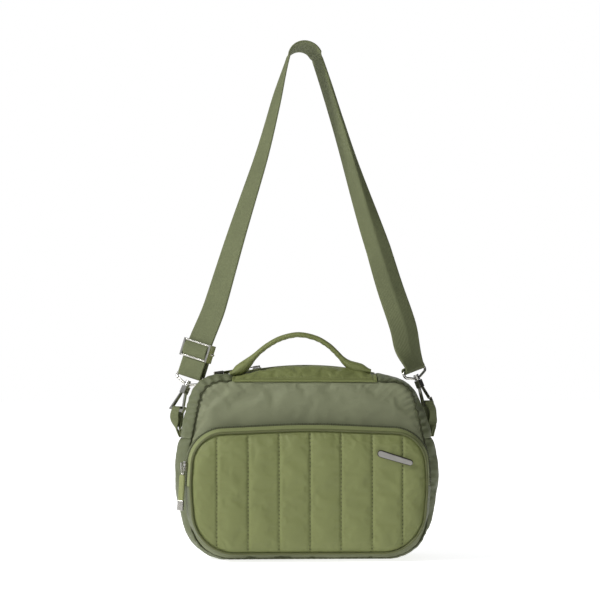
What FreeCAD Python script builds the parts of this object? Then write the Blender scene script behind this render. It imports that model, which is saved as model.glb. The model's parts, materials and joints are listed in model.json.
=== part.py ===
"""Crossbody purse: soft main compartment, quilted front pocket, grab handle and clip-on strap.

Millimetres. +X is the right side seen from the front, +Y the back, +Z up.
The origin is the middle of the base, on the surface that the bag stands on.
"""

import FreeCAD, Part
import math
import os

import Sketcher
from FreeCAD import Placement, Rotation, Vector

# Every closed outline is a belt round circles: a lower corner, a side and an upper corner, mirrored
# left to right, and one wide crown circle. Moving the outline in or out only changes the radii.
SIZES = {
    "main compartment, outline of the front and back seams": {
        "seam_low_x": 76, "seam_low_z": 41.5, "seam_low_rad": 40.7,
        "seam_side_x": 6, "seam_side_z": 80, "seam_side_rad": 116,
        "seam_high_x": 82, "seam_high_z": 152, "seam_high_rad": 22,
        "seam_crown_z": -325.5, "seam_crown_rad": 500,
    },
    "main compartment, widest outline at half depth": {
        "mid_low_x": 77, "mid_low_z": 46, "mid_low_rad": 46.6,
        "mid_side_x": 6, "mid_side_z": 84, "mid_side_rad": 125,
        "mid_high_x": 83, "mid_high_z": 151, "mid_high_rad": 29,
        "mid_crown_z": -118, "mid_crown_rad": 310,
    },
    "main compartment, depth": {
        "front_y": -22, "mid_y": 10, "back_y": 42,
        "bulge_y": 18, "bulge_share": 0.8,
        "panel_thick": 1, "gusset_thick": 1.2, "seam_gap": 0.1, "far": 200,
        "side_seam_z": 120, "tape_half": 4, "main_zip_y": 28,
        "main_zip_lean": -8, "main_zip_tilt": 29,
    },
    "inside the main compartment": {
        "foam_thick": 3, "foam_inset": 6, "lining_gap": 1.7, "lining_thick": 0.5,
        "binding_inset": 1.6, "binding_wide": 3, "binding_deep": 2.4,
        "board_long": 150, "board_deep": 48, "board_thick": 1.5, "board_z": 4.2,
        "slip_long": 150, "slip_tall": 90, "slip_thick": 0.8, "slip_z": 40,
    },
    "zip coil and sliders": {
        "coil_half": 2, "coil_thick": 1.2, "slider_long": 9, "slider_wide": 7.2, "slider_gap": 0.6,
        "slider_roof": 1, "slider_wall": 0.9, "wall_drop": 0.1,
        "bridge_tall": 3.8, "bridge_wide": 2.4, "bridge_bar": 1,
        "loop_wire": 0.6, "loop_wide": 6, "loop_long": 8, "loop_corner": 1.2, "loop_play": 0.5,
        "puller_wide": 6, "puller_thick": 1.6, "puller_long": 25, "puller_gap": 0.15,
        "cap_wide": 6.6, "cap_thick": 2.4, "cap_long": 10, "cap_gap": 0.1, "cap_round": 0.7,
    },
    "top panel and handle": {
        "top_panel_left": -75, "top_panel_right": 69, "top_panel_back": 16, "patch_thick": 0.8,
        "handle_x": -9, "handle_z": 162, "handle_rad": 60, "handle_half_angle": 46,
        "handle_thick": 8, "handle_deep": 13, "handle_y": 2, "handle_root_z": 194.7, "handle_round": 3,
        "end_long": 22, "end_wide": 18, "end_thick": 2, "end_sink": 0.3, "end_out": 2,
    },
    "front pocket, outline of its face": {
        "face_low_x": 72.5, "face_low_z": 50.5, "face_low_rad": 41.5,
        "face_side_x": -34, "face_side_z": 76, "face_side_rad": 149.7,
        "face_high_x": 83.5, "face_high_z": 95, "face_high_rad": 31.2,
        "face_crown_z": -571, "face_crown_rad": 700,
    },
    "front pocket, outline where it meets the bag": {
        "base_low_x": 73.5, "base_low_z": 53.5, "base_low_rad": 47.5,
        "base_side_x": -34, "base_side_z": 76, "base_side_rad": 156.3,
        "base_high_x": 83.5, "base_high_z": 95, "base_high_rad": 38.2,
        "base_crown_z": -571, "base_crown_rad": 707.5,
    },
    "front pocket, depth": {
        "face_y": -44, "face_bulge_y": -47.5, "face_front_y": -50, "face_bulge_in": 1.5, "face_crown_in": 9,
        "pocket_thick": 1, "pocket_base_y": -22.3, "pocket_mid_y": -31, "pocket_mid_share": 0.75,
        "pocket_zip_front": -33, "pocket_zip_rear": -27, "zip_end_z": 74, "pocket_zip_tilt": 17,
        "puller_lean": 3.5, "puller_twist": 45,
        "piping_rad": 1.1, "piping_out": 1.3, "piping_y": -45.4,
        "badge_x": 85, "badge_z": 102, "badge_long": 36, "badge_tall": 6, "badge_thick": 1.4,
        "badge_tilt": 17, "badge_round": 0.5, "badge_taper": 0.8,
    },
    "strap webbing": {
        "strap_wide": 30, "strap_thick": 1.4, "strap_y": 10, "apex_x": -4, "apex_z": 498, "apex_rad": 15,
        "left_base_x": -117, "left_base_z": 183.5, "left_turn": -40,
        "right_base_x": 110, "right_base_z": 189.5, "right_turn": 45,
        "flat_run": 125, "layer_gap": 2.7, "return_long": 15,
    },
    "strap rings": {
        "ring_wire": 1.4, "ring_corner_x": 13.5, "ring_corner_rad": 3.5,
        "ring_bow_rad": 22, "ring_drop": 10.5,
        "hub_rad": 3, "hub_bore": 1.6, "hub_low": 12.5, "hub_high": 8.5,
    },
    "adjuster buckle": {
        "buckle_at": 25, "buckle_half": 9, "rail_x": 15.6, "rail_wide": 2.4, "rail_front": -3.5,
        "rail_back": 4.9, "buckle_bar_rad": 1.1, "buckle_bar_front": -2.3, "post_y": 3.3, "post_rad": 1.1,
        "post_half": 19.5, "eye_thick": 1.1, "eye_tab": 9, "eye_play": 0.05,
    },
    "snap hooks": {
        "hook_reach": 38, "left_hook_x": -133.5, "left_hook_z": 148.5, "left_swivel": -15,
        "right_hook_x": 123, "right_hook_z": 153.6, "right_swivel": 14,
        "hook_wire": 1.5, "hook_half": 11, "block_half": 4, "block_low": 17.5, "block_high": 25.2,
        "block_deep": 2.6, "block_flare": 0.4, "leg_root": 1, "slot_half": 1.9, "slot_x": -0.6, "slot_top": 1.6,
        "pin_x": 2, "pin_z": 21.2, "pin_rad": 0.8, "pin_bore": 0.85, "eye_rad": 1.75,
        "gate_half": 1.1, "gate_tip_x": 9.1, "gate_tip_z": 3.9, "gate_wide": 2.4,
        "gate_root_in": 1.2, "gate_root_out": 1.4, "nose_out": 1, "nose_gap": 0.5, "nose_top": 4.8,
        "spring_rad": 1.25, "spring_wire": 0.28, "shaft_rad": 1.55, "head_rad": 2.7, "head_low": 29.8,
        "head_high": 31.2,
    },
    "side tabs": {
        "tab_thick": 1.4, "tab_top_rad": 5.6, "tab_top_drop": 1.2, "tab_root_rad": 2.6, "tab_wide": 11,
        "left_root_x": -130.6, "right_root_x": 128, "tab_root_z": 124,
    },
}

doc = FreeCAD.newDocument("crossbody_purse")
sheet = doc.addObject("Spreadsheet::Sheet", "sizes")


def fill_sheet():
    """One row to a size: its name, its value and an alias of the same name."""
    row = 1
    for group, values in SIZES.items():
        sheet.set(f"A{row}", group)
        row += 1
        for alias, number in values.items():
            sheet.set(f"A{row}", alias)
            sheet.set(f"B{row}", str(number))
            sheet.setAlias(f"B{row}", alias)
            row += 1
    doc.recompute()


fill_sheet()
ALIASES = {alias for values in SIZES.values() for alias in values}


def bind(text):
    """The formula with each size name turned into a reference to the sheet."""
    words = text.replace("(", " ( ").replace(")", " ) ").split()
    return " ".join(f"sizes.{word}" if word in ALIASES else word for word in words)


def value(text):
    """The formula's number."""
    return float(sheet.evalExpression(bind(text)))


def drive(item, prop, text):
    """Bind a property to a formula of sheet sizes."""
    item.setExpression(prop, bind(text))


# ---------------------------------------------------------------- sketches

def dimension(sketch, kind, where, text):
    """A driving dimension bound to a formula."""
    index = sketch.addConstraint(Sketcher.Constraint(kind, *where, value(text)))
    sketch.setExpression(f"Constraints[{index}]", bind(text))


def locate(sketch, geometry, point, x_text, y_text):
    """Fix a point of the sketch at two formulas."""
    dimension(sketch, "DistanceX", (-1, 1, geometry, point), x_text)
    dimension(sketch, "DistanceY", (-1, 1, geometry, point), y_text)


def join_tangent(sketch, first, second):
    """The end of one edge runs smoothly into the start of the next."""
    sketch.addConstraint(Sketcher.Constraint("Tangent", first, 2, second, 1))


def belt(sketch, circles):
    """A closed convex outline, anticlockwise: arcs of the circles joined by their outer tangents."""
    solved = [(Vector(value(x), value(y), 0), value(radius)) for x, y, radius in circles]
    count = len(solved)
    normals = []
    for (centre, radius), (following, next_radius) in zip(solved, solved[1:] + solved[:1]):
        step = following - centre
        normals.append(math.atan2(step.y, step.x) - math.acos((radius - next_radius) / step.Length))
    arcs = []
    lines = []
    for index, (centre, radius) in enumerate(solved):
        circle = Part.Circle(centre, Vector(0, 0, 1), radius)
        start, end = normals[index - 1], normals[index]
        if (end - start) % (2 * math.pi) > 1.5 * math.pi:
            raise ValueError(f"{sketch.Name}: circle {index} lies inside the belt")
        arc = Part.ArcOfCircle(circle, start, end)
        following, next_radius = solved[(index + 1) % count]
        out = Vector(math.cos(end), math.sin(end), 0)
        line = Part.LineSegment(centre + out * radius, following + out * next_radius)
        arcs.append(sketch.addGeometry(arc, False))
        lines.append(sketch.addGeometry(line, False))
    for index in range(count):
        join_tangent(sketch, arcs[index], lines[index])
        join_tangent(sketch, lines[index], arcs[(index + 1) % count])
    for arc, (x, y, radius) in zip(arcs, circles):
        dimension(sketch, "Radius", (arc,), radius)
        locate(sketch, arc, 3, x, y)


def polygon(sketch, points):
    """A closed outline of straight edges through the given formulas."""
    corners = [Vector(value(x), value(y), 0) for x, y in points]
    count = len(corners)
    edges = [sketch.addGeometry(Part.LineSegment(corners[i], corners[(i + 1) % count]), False)
             for i in range(count)]
    for index in range(count):
        following = edges[(index + 1) % count]
        sketch.addConstraint(Sketcher.Constraint("Coincident", edges[index], 2, following, 1))
    for edge, (x, y) in zip(edges, points):
        locate(sketch, edge, 1, x, y)


def rectangle(sketch, left, right, low, high):
    polygon(sketch, [(left, low), (right, low), (right, high), (left, high)])


def disc(sketch, x, y, radius):
    """A full circle."""
    middle = Vector(value(x), value(y), 0)
    edge = sketch.addGeometry(Part.Circle(middle, Vector(0, 0, 1), value(radius)), False)
    dimension(sketch, "Radius", (edge,), radius)
    locate(sketch, edge, 3, x, y)


# ---------------------------------------------------------------- outlines

def outline(prefix, inset="0"):
    """The belt's circles for one named outline, moved in by the inset."""
    def circle(corner, sign=""):
        name = f"{prefix}_{corner}"
        return f"{sign} {name}_x", f"{name}_z", f"{name}_rad - ( {inset} )"
    crown = ("0", f"{prefix}_crown_z", f"{prefix}_crown_rad - ( {inset} )")
    right = [circle("low"), circle("side"), circle("high")]
    left = [circle("high", "-1 *"), circle("side", "-1 *"), circle("low", "-1 *")]
    return right + [crown] + left


def between(first, second, share):
    """Each circle part of the way from the first outline to the second."""
    def mix(start, end):
        return f"( {start} ) + ( ( {end} ) - ( {start} ) ) * {share}"
    return [tuple(mix(a, b) for a, b in zip(one, two)) for one, two in zip(first, second)]


def section(name, circles, y_text):
    """An outline as a sketch across the bag at the given depth."""
    sketch = doc.addObject("Sketcher::SketchObject", name)
    sketch.Placement = Placement(Vector(0, value(y_text), 0), Rotation(Vector(1, 0, 0), 90))
    drive(sketch, "Placement.Base.y", y_text)
    belt(sketch, circles)
    return sketch


def loft(name, sections):
    item = doc.addObject("Part::Loft", name)
    item.Sections = sections
    item.Solid = True
    item.Ruled = False
    return item


def main_block(name, inset, end_inset="0"):
    """The main compartment's bulging outer form, moved in by the inset, between its two seams."""
    seam = outline("seam", inset)
    mid = outline("mid", inset)
    near = between(seam, mid, "bulge_share")
    depths = [
        (seam, f"front_y + panel_thick + seam_gap + ( {end_inset} )"),
        (near, "mid_y - bulge_y"),
        (mid, "mid_y"),
        (near, "mid_y + bulge_y"),
        (seam, f"back_y - panel_thick - seam_gap - ( {end_inset} )"),
    ]
    return loft(name, [section(f"{name}_{i}", circles, y) for i, (circles, y) in enumerate(depths)])


def pocket_block(name, inset, front_y="face_y + seam_gap", rear_y="pocket_base_y"):
    """The pocket's outer form from its face back to the bag, moved in by the inset."""
    face = outline("face", inset)
    base = outline("base", inset)
    mid = between(face, base, "pocket_mid_share")
    depths = [(face, front_y), (mid, "pocket_mid_y"), (base, rear_y)]
    return loft(name, [section(f"{name}_{i}", circles, y) for i, (circles, y) in enumerate(depths)])


# ---------------------------------------------------------------- solids

NODES = []


def node(item, name):
    """Mark an object as one physical piece of the bag."""
    item.Label = name
    NODES.append(item)
    return item


def boolean(kind, name, base, tool):
    item = doc.addObject(f"Part::{kind}", name)
    item.Base = base
    item.Tool = tool
    return item


def union(name, items):
    item = doc.addObject("Part::MultiFuse", name)
    item.Shapes = items
    return item


def box(name, x_range, y_range, z_range, placement=None):
    """A box between pairs of formulas, in its own placement if one is given."""
    item = doc.addObject("Part::Box", name)
    for prop, (low, high) in zip(("Length", "Width", "Height"), (x_range, y_range, z_range)):
        drive(item, prop, f"( {high} ) - ( {low} )")
    corner = Vector(*(value(low) for low, _ in (x_range, y_range, z_range)))
    if placement:
        item.Placement = placement.multiply(Placement(corner, Rotation()))
        return item
    item.Placement = Placement(corner, Rotation())
    for axis, (low, _) in zip("xyz", (x_range, y_range, z_range)):
        drive(item, f"Placement.Base.{axis}", low)
    return item


def cylinder(name, radius, height, placement):
    """A cylinder up the placement's own Z."""
    item = doc.addObject("Part::Cylinder", name)
    drive(item, "Radius", radius)
    drive(item, "Height", height)
    item.Placement = placement
    return item


def new_body(name, placement=None):
    item = doc.addObject("PartDesign::Body", name)
    item.Placement = placement or Placement()
    return item


def body_sketch(body, name, plane, offset="0"):
    """A sketch on one of the body's own origin planes, moved along that plane's normal."""
    sketch = body.newObject("Sketcher::SketchObject", name)
    support = next(f for f in body.Origin.OriginFeatures if f.Role == plane)
    sketch.AttachmentSupport = (support, [""])
    sketch.MapMode = "FlatFace"
    drive(sketch, "AttachmentOffset.Base.z", offset)
    return sketch


def extrude(body, kind, sketch, length, reverse=False):
    """A Pad or Pocket of a sketch."""
    feature = body.newObject(f"PartDesign::{kind}", f"{body.Name}_{kind}_{sketch.Name}")
    feature.Profile = sketch
    drive(feature, "Length", length)
    feature.Reversed = reverse
    sketch.Visibility = False
    return feature


def round_edges(body, name, radius, wanted):
    """Fillet the edges that the test picks from the body's present shape."""
    doc.recompute()
    picked = [f"Edge{i + 1}" for i, edge in enumerate(body.Tip.Shape.Edges) if wanted(edge)]
    fillet = body.newObject("PartDesign::Fillet", name)
    fillet.Base = (body.Group[-2], picked)
    drive(fillet, "Radius", radius)
    return fillet


def frame_at(origin, x_axis, z_axis):
    """A placement with the given origin and axes."""
    y_axis = z_axis.cross(x_axis)
    return Placement(origin, Rotation(x_axis, y_axis, z_axis, "ZXY"))


# ---------------------------------------------------------------- main compartment

def panel(name, front, thick, inset):
    """A flat sheet in the XZ plane: its front face at the given depth."""
    body = new_body(name)
    sketch = body_sketch(body, f"{name}_outline", "XZ_Plane", f"-1 * ( {front} )")
    belt(sketch, outline("seam", inset))
    extrude(body, "Pad", sketch, thick, reverse=True)
    return node(body, name)


def seam_binding(name, front):
    """The tape over the raw edges of a seam: a flat ring inside the compartment."""
    body = new_body(name)
    sketch = body_sketch(body, f"{name}_outline", "XZ_Plane", f"-1 * ( {front} )")
    belt(sketch, outline("seam", "binding_inset"))
    belt(sketch, outline("seam", "binding_inset + binding_wide"))
    extrude(body, "Pad", sketch, "binding_deep", reverse=True)
    return node(body, name)


def main_compartment():
    panel("front_panel", "front_y", "panel_thick", "0")
    panel("back_panel", "back_y - panel_thick", "panel_thick", "0")
    panel("foam_front", "front_y + panel_thick + seam_gap", "foam_thick", "foam_inset")
    panel("foam_back", "back_y - panel_thick - seam_gap - foam_thick", "foam_thick", "foam_inset")
    seam_binding("front_seam_binding", "front_y + panel_thick + seam_gap")
    seam_binding("back_seam_binding", "back_y - panel_thick - seam_gap - binding_deep")

    outer = main_block("gusset_outer", "0")
    inner = main_block("gusset_inner", "gusset_thick")
    shell = boolean("Cut", "gusset_shell", outer, inner)
    wide = ("-1 * far", "far")
    deep = ("-1 * far", "far")
    low_part = box("low_part", wide, deep, ("0", "side_seam_z - seam_gap"))
    node(boolean("Common", "bottom_gusset_cut", shell, low_part), "bottom_gusset")
    upward = ("side_seam_z", "far")
    slot_front = "main_zip_y - tape_half"
    slot_rear = "main_zip_y + tape_half"
    front_part = box("front_part", wide, ("-1 * far", f"{slot_front} - seam_gap"), upward)
    node(boolean("Common", "top_front_cut", shell, front_part), "top_gusset_front")
    rear_part = box("rear_part", wide, (f"{slot_rear} + seam_gap", "far"), upward)
    node(boolean("Common", "top_rear_cut", shell, rear_part), "top_gusset_rear")
    tape_part = box("tape_part", wide, (slot_front, slot_rear), upward)
    node(boolean("Common", "main_tape_cut", shell, tape_part), "main_zip_tape")

    coil_outer = main_block("coil_outer", "-1 * coil_thick")
    coil_shell = boolean("Cut", "coil_shell", coil_outer, outer)
    coil_part = box("coil_part", wide, ("main_zip_y - coil_half", "main_zip_y + coil_half"), upward)
    node(boolean("Common", "main_coil_cut", coil_shell, coil_part), "main_zip_chain")

    patch_outer = main_block("patch_outer", "-1 * patch_thick")
    patch_shell = boolean("Cut", "patch_shell", patch_outer, outer)
    patch_part = box("patch_part", ("top_panel_left", "top_panel_right"),
                     ("-1 * far", "top_panel_back"), upward)
    node(boolean("Common", "top_patch_cut", patch_shell, patch_part), "top_panel")

    lining_outer = main_block("lining_outer", "lining_gap", "foam_thick + seam_gap")
    lining_inner = main_block("lining_inner", "lining_gap + lining_thick",
                              "foam_thick + seam_gap + lining_thick")
    lining_shell = boolean("Cut", "lining_shell", lining_outer, lining_inner)
    slot_part = box("slot_part", ("-1 * mid_high_x", "mid_high_x"), (slot_front, slot_rear), upward)
    slotted = boolean("Cut", "lining_slotted", lining_shell, slot_part)
    board_room = box("board_room", wide, deep, ("-1 * far", "board_z + board_thick + seam_gap"))
    node(boolean("Cut", "lining_cut", slotted, board_room), "lining")

    board_half = "board_long / 2"
    board = box("board_block", (f"-1 * {board_half}", board_half),
                ("mid_y - board_deep / 2", "mid_y + board_deep / 2"), ("board_z", "board_z + board_thick"))
    node(board, "base_board")
    slip_half = "slip_long / 2"
    slip_back = "back_y - panel_thick - foam_thick - lining_thick - seam_gap * 4"
    slip = box("slip_block", (f"-1 * {slip_half}", slip_half), (f"{slip_back} - slip_thick", slip_back),
               ("slip_z", "slip_z + slip_tall"))
    node(slip, "slip_pocket")


# ---------------------------------------------------------------- front pocket

def front_pocket():
    wide = ("-1 * far", "far")
    face = [
        section("face_rim", outline("face"), "face_y"),
        section("face_bulge", outline("face", "face_bulge_in"), "face_bulge_y"),
        section("face_crown", outline("face", "face_crown_in"), "face_front_y"),
    ]
    node(loft("face_loft", face), "pocket_panel")

    outer = pocket_block("pocket_outer", "0")
    inner = pocket_block("pocket_inner", "pocket_thick")
    shell = boolean("Cut", "pocket_shell", outer, inner)
    low_part = box("pocket_low", wide, ("-1 * far", "0"), ("-1 * far", "zip_end_z - seam_gap"))
    node(boolean("Common", "pocket_low_cut", shell, low_part), "pocket_gusset_lower")
    upward = ("zip_end_z", "far")
    front_part = box("pocket_front", wide, ("-1 * far", "pocket_zip_front - seam_gap"), upward)
    node(boolean("Common", "pocket_front_cut", shell, front_part), "pocket_strip_front")
    rear_part = box("pocket_rear", wide, ("pocket_zip_rear + seam_gap", "0"), upward)
    node(boolean("Common", "pocket_rear_cut", shell, rear_part), "pocket_strip_rear")
    tape_part = box("pocket_tape", wide, ("pocket_zip_front", "pocket_zip_rear"), upward)
    tape = boolean("Common", "pocket_tape_cut", shell, tape_part)
    coil_outer = pocket_block("pocket_coil_outer", "-1 * coil_thick")
    coil_shell = boolean("Cut", "pocket_coil_shell", coil_outer, outer)
    zip_y = "( pocket_zip_front + pocket_zip_rear ) / 2"
    coil_part = box("pocket_coil", wide, (f"{zip_y} - coil_half", f"{zip_y} + coil_half"), upward)
    coil = boolean("Common", "pocket_coil_cut", coil_shell, coil_part)
    node(union("pocket_zip_fused", [tape, coil]), "pocket_zip_chain")

    lining_front = "face_y + seam_gap * 2"
    cup_outer = pocket_block("pocket_cup_outer", "pocket_thick + seam_gap", lining_front)
    cup_inner = pocket_block("pocket_cup_inner", "pocket_thick + seam_gap + lining_thick",
                             f"{lining_front} + lining_thick", "pocket_base_y + 0.5")
    node(boolean("Cut", "pocket_cup", cup_outer, cup_inner), "pocket_lining")

    piping = new_body("pocket_piping")
    path = body_sketch(piping, "piping_path", "XZ_Plane", "-1 * piping_y")
    belt(path, outline("face", "-1 * piping_out"))
    profile = body_sketch(piping, "piping_profile", "YZ_Plane")
    disc(profile, "piping_y", "face_crown_z + face_crown_rad + piping_out", "piping_rad")
    sweep_along(piping, profile, path)
    node(piping, "pocket_piping")

    spot = Placement(Vector(value("badge_x"), value("face_front_y - seam_gap"), value("badge_z")),
                     Rotation(Vector(0, 1, 0), value("badge_tilt")))
    badge = new_body("badge", spot)
    sketch = body_sketch(badge, "badge_outline", "XZ_Plane")
    end_rad = "badge_tall / 2"
    end_x = f"badge_long / 2 - {end_rad}"
    belt(sketch, [(f"-1 * ( {end_x} )", "0", end_rad), (end_x, "0", f"{end_rad} * badge_taper")])
    extrude(badge, "Pad", sketch, "badge_thick")
    front = -value("badge_thick")
    round_edges(badge, "badge_rim", "badge_round",
                lambda edge: all(abs(point.Point.y - front) < 0.01 for point in edge.Vertexes))
    node(badge, "badge")


def sweep_along(body, profile, path):
    """A pipe: the profile carried round the path."""
    pipe = body.newObject("PartDesign::AdditivePipe", f"{body.Name}_pipe")
    pipe.Profile = profile
    pipe.Spine = path
    return pipe


# ---------------------------------------------------------------- zip sliders and pullers

def zip_slider(prefix, seat):
    """A slider astride the coil, and its loop, puller and end cap.

    The seat's origin is on the coil's outer surface, its Z points out of the zip, and its X
    points the way that the puller lies.
    """
    body = new_body(f"{prefix}_slider", seat)
    half_long = "slider_long / 2"
    half_wide = "slider_wide / 2"
    roof = body_sketch(body, f"{prefix}_roof", "XY_Plane", "slider_gap")
    rectangle(roof, f"-1 * {half_long}", half_long, f"-1 * {half_wide}", half_wide)
    extrude(body, "Pad", roof, "slider_roof")
    for sign in ("", "-1 * "):
        wall = body_sketch(body, f"{prefix}_wall{'a' if sign else 'b'}", "XY_Plane", "slider_gap")
        inner, outer = f"{sign}( {half_wide} - slider_wall )", f"{sign}( {half_wide} )"
        rectangle(wall, f"-1 * {half_long}", half_long, inner, outer)
        extrude(body, "Pad", wall, "slider_gap + wall_drop", reverse=True)
    bridge = body_sketch(body, f"{prefix}_bridge", "XZ_Plane", "-1 * bridge_wide / 2")
    low = "slider_gap + slider_roof - 0.1"
    top = f"{low} + bridge_tall"
    reach = "slider_long / 2 - 1"
    polygon(bridge, [
        (f"-1 * ( {reach} )", low), (f"-1 * ( {reach} ) + bridge_bar", low),
        (f"-1 * ( {reach} ) + bridge_bar", f"{top} - bridge_bar"),
        (f"{reach} - bridge_bar", f"{top} - bridge_bar"),
        (f"{reach} - bridge_bar", low), (reach, low), (reach, top), (f"-1 * ( {reach} )", top),
    ])
    extrude(body, "Pad", bridge, "bridge_wide")
    node(body, f"{prefix}_slider")


def zip_puller(prefix, hang, twist):
    """Wire loop, fabric tab and metal cap. The placement's origin is on the loop's hinge line, its
    Z points back up the puller and its X along the hinge. The tab is turned by the twist, in degrees."""
    loop = new_body(f"{prefix}_loop", hang)
    path = body_sketch(loop, f"{prefix}_loop_path", "XZ_Plane")
    corner = "loop_wide / 2 - loop_corner"
    belt(path, [
        (f"-1 * ( {corner} )", "loop_corner - loop_long", "loop_corner"),
        (corner, "loop_corner - loop_long", "loop_corner"),
        (corner, "-1 * loop_corner", "loop_corner"),
        (f"-1 * ( {corner} )", "-1 * loop_corner", "loop_corner"),
    ])
    profile = body_sketch(loop, f"{prefix}_loop_wire", "YZ_Plane")
    disc(profile, "0", "0", "loop_wire")
    sweep_along(loop, profile, path)
    node(loop, f"{prefix}_loop")

    turned = hang.multiply(Placement(Vector(0, 0, 0), Rotation(Vector(0, 0, 1), twist)))
    tab = new_body(f"{prefix}_tab", turned)
    flat = body_sketch(tab, f"{prefix}_tab_outline", "XZ_Plane", "puller_thick / 2")
    half = "puller_wide / 2"
    top = "-1 * ( loop_long + loop_wire + puller_gap )"
    rectangle(flat, f"-1 * {half}", half, f"{top} - puller_long", top)
    extrude(tab, "Pad", flat, "puller_thick", reverse=True)
    node(tab, f"{prefix}_puller")

    cap = new_body(f"{prefix}_cap", turned)
    flat = body_sketch(cap, f"{prefix}_cap_outline", "XZ_Plane", "cap_thick / 2")
    half = "cap_wide / 2"
    high = f"{top} - puller_long - cap_gap"
    rectangle(flat, f"-1 * {half}", half, f"{high} - cap_long", high)
    extrude(cap, "Pad", flat, "cap_thick", reverse=True)
    round_edges(cap, f"{prefix}_cap_round", "cap_round", lambda edge: True)
    node(cap, f"{prefix}_puller_cap")


def pocket_zip_seat():
    """Where the pocket slider rests: at the left end of its zip, facing left and a little forwards."""
    x = value("-1 * face_high_x - face_high_rad - ( base_high_rad - face_high_rad ) * pocket_mid_share")
    y = value("( pocket_zip_front + pocket_zip_rear ) / 2")
    point = Vector(x - value("coil_thick"), y, value("face_high_z - 1"))
    tilt = math.radians(value("pocket_zip_tilt"))
    return frame_at(point, Vector(0, 0, -1), Vector(-math.cos(tilt), -math.sin(tilt), 0))


def main_zip_seat():
    """Where the main slider rests: left of the crown's middle, its puller outwards."""
    lean = math.radians(value("main_zip_lean"))
    tilt = math.radians(value("main_zip_tilt"))
    crown = "seam_crown_{0} + ( mid_crown_{0} - seam_crown_{0} ) * bulge_share"
    centre = Vector(0, value("main_zip_y"), value(crown.format("z")))
    radius = value(crown.format("rad")) + value("coil_thick")
    along = Vector(-math.cos(lean), 0, math.sin(lean))
    up = Vector(math.sin(lean), 0, math.cos(lean))
    out = up * math.cos(tilt) + Vector(0, 1, 0) * math.sin(tilt)
    return frame_at(centre + up * radius, along, out)


def hang_from(seat, lean):
    """The puller's placement: its hinge line is just under the top of the slider's bridge, and it
    lies along the seat's X, leaning out of it by the given degrees."""
    rise = value("slider_gap + slider_roof + bridge_tall - bridge_bar - loop_wire - loop_play")
    across = Vector(0, 1, 0)
    turned = seat.Rotation.multiply(Rotation(across, -lean))
    back = turned.multVec(Vector(-1, 0, 0))
    return frame_at(seat.multVec(Vector(0, 0, rise)), turned.multVec(across), back)


# ---------------------------------------------------------------- handle

def handle():
    """The arch stands in the XZ plane; its two flat ends are sewn to the top panel."""
    arch = new_body("handle_arch")
    sketch = body_sketch(arch, "handle_outline", "XZ_Plane", "-1 * handle_y - handle_deep / 2")
    centre = Vector(value("handle_x"), value("handle_z"), 0)
    lean = math.radians(value("handle_half_angle"))
    root_z = value("handle_root_z")
    edges = []
    for radius in (value("handle_rad + handle_thick / 2"), value("handle_rad - handle_thick / 2")):
        circle = Part.Circle(centre, Vector(0, 0, 1), radius)
        arc = sketch.addGeometry(Part.ArcOfCircle(circle, math.pi / 2 - lean, math.pi / 2 + lean), False)
        legs = []
        for side in (1, -1):
            start = centre + Vector(side * math.sin(lean), math.cos(lean), 0) * radius
            down = Vector(side * math.cos(lean), -math.sin(lean), 0)
            foot = start + down * ((start.y - root_z) / math.sin(lean))
            legs.append(sketch.addGeometry(Part.LineSegment(start, foot), False))
        sketch.addConstraint(Sketcher.Constraint("Tangent", arc, 1, legs[0], 1))
        sketch.addConstraint(Sketcher.Constraint("Tangent", arc, 2, legs[1], 1))
        edges.append((arc, legs))
    (outer, outer_legs), (inner, inner_legs) = edges
    for high, low in zip(outer_legs, inner_legs):
        feet = [sketch.getPoint(leg, 2) for leg in (high, low)]
        foot = sketch.addGeometry(Part.LineSegment(*feet), False)
        sketch.addConstraint(Sketcher.Constraint("Coincident", high, 2, foot, 1))
        sketch.addConstraint(Sketcher.Constraint("Coincident", low, 2, foot, 2))
    for arc, text in ((outer, "handle_rad + handle_thick / 2"), (inner, "handle_rad - handle_thick / 2")):
        dimension(sketch, "Radius", (arc,), text)
        locate(sketch, arc, 3, "handle_x", "handle_z")
    for leg in outer_legs + inner_legs:
        dimension(sketch, "DistanceY", (-1, 1, leg, 2), "handle_root_z")
    extrude(arch, "Pad", sketch, "handle_deep")
    across = Vector(0, 1, 0)
    round_edges(arch, "handle_soft_edges", "handle_round",
                lambda edge: abs(edge.BoundBox.YLength) < 0.01)
    node(arch, "handle")

    ends = []
    for side in (-1, 1):
        foot_x = value("handle_x") + side * (value("handle_rad") * math.sin(lean)
                                             + (centre.y + value("handle_rad") * math.cos(lean) - root_z)
                                             / math.tan(lean))
        surface = value("mid_crown_z") + math.sqrt(value("mid_crown_rad") ** 2 - foot_x ** 2)
        tilt = math.degrees(math.asin(foot_x / value("mid_crown_rad")))
        height = surface + value("patch_thick + seam_gap * 2")
        spot = Placement(Vector(foot_x + side * value("end_out"), value("handle_y"), height),
                         Rotation(across, tilt))
        half_long, half_wide = "end_long / 2", "end_wide / 2"
        ends.append(box(f"handle_end_{side + 1}", (f"-1 * {half_long}", half_long),
                        (f"-1 * {half_wide}", half_wide), ("-1 * end_sink", "end_thick - end_sink"), spot))
    node(union("handle_ends_fused", ends), "handle_ends")


# ---------------------------------------------------------------- strap

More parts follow.
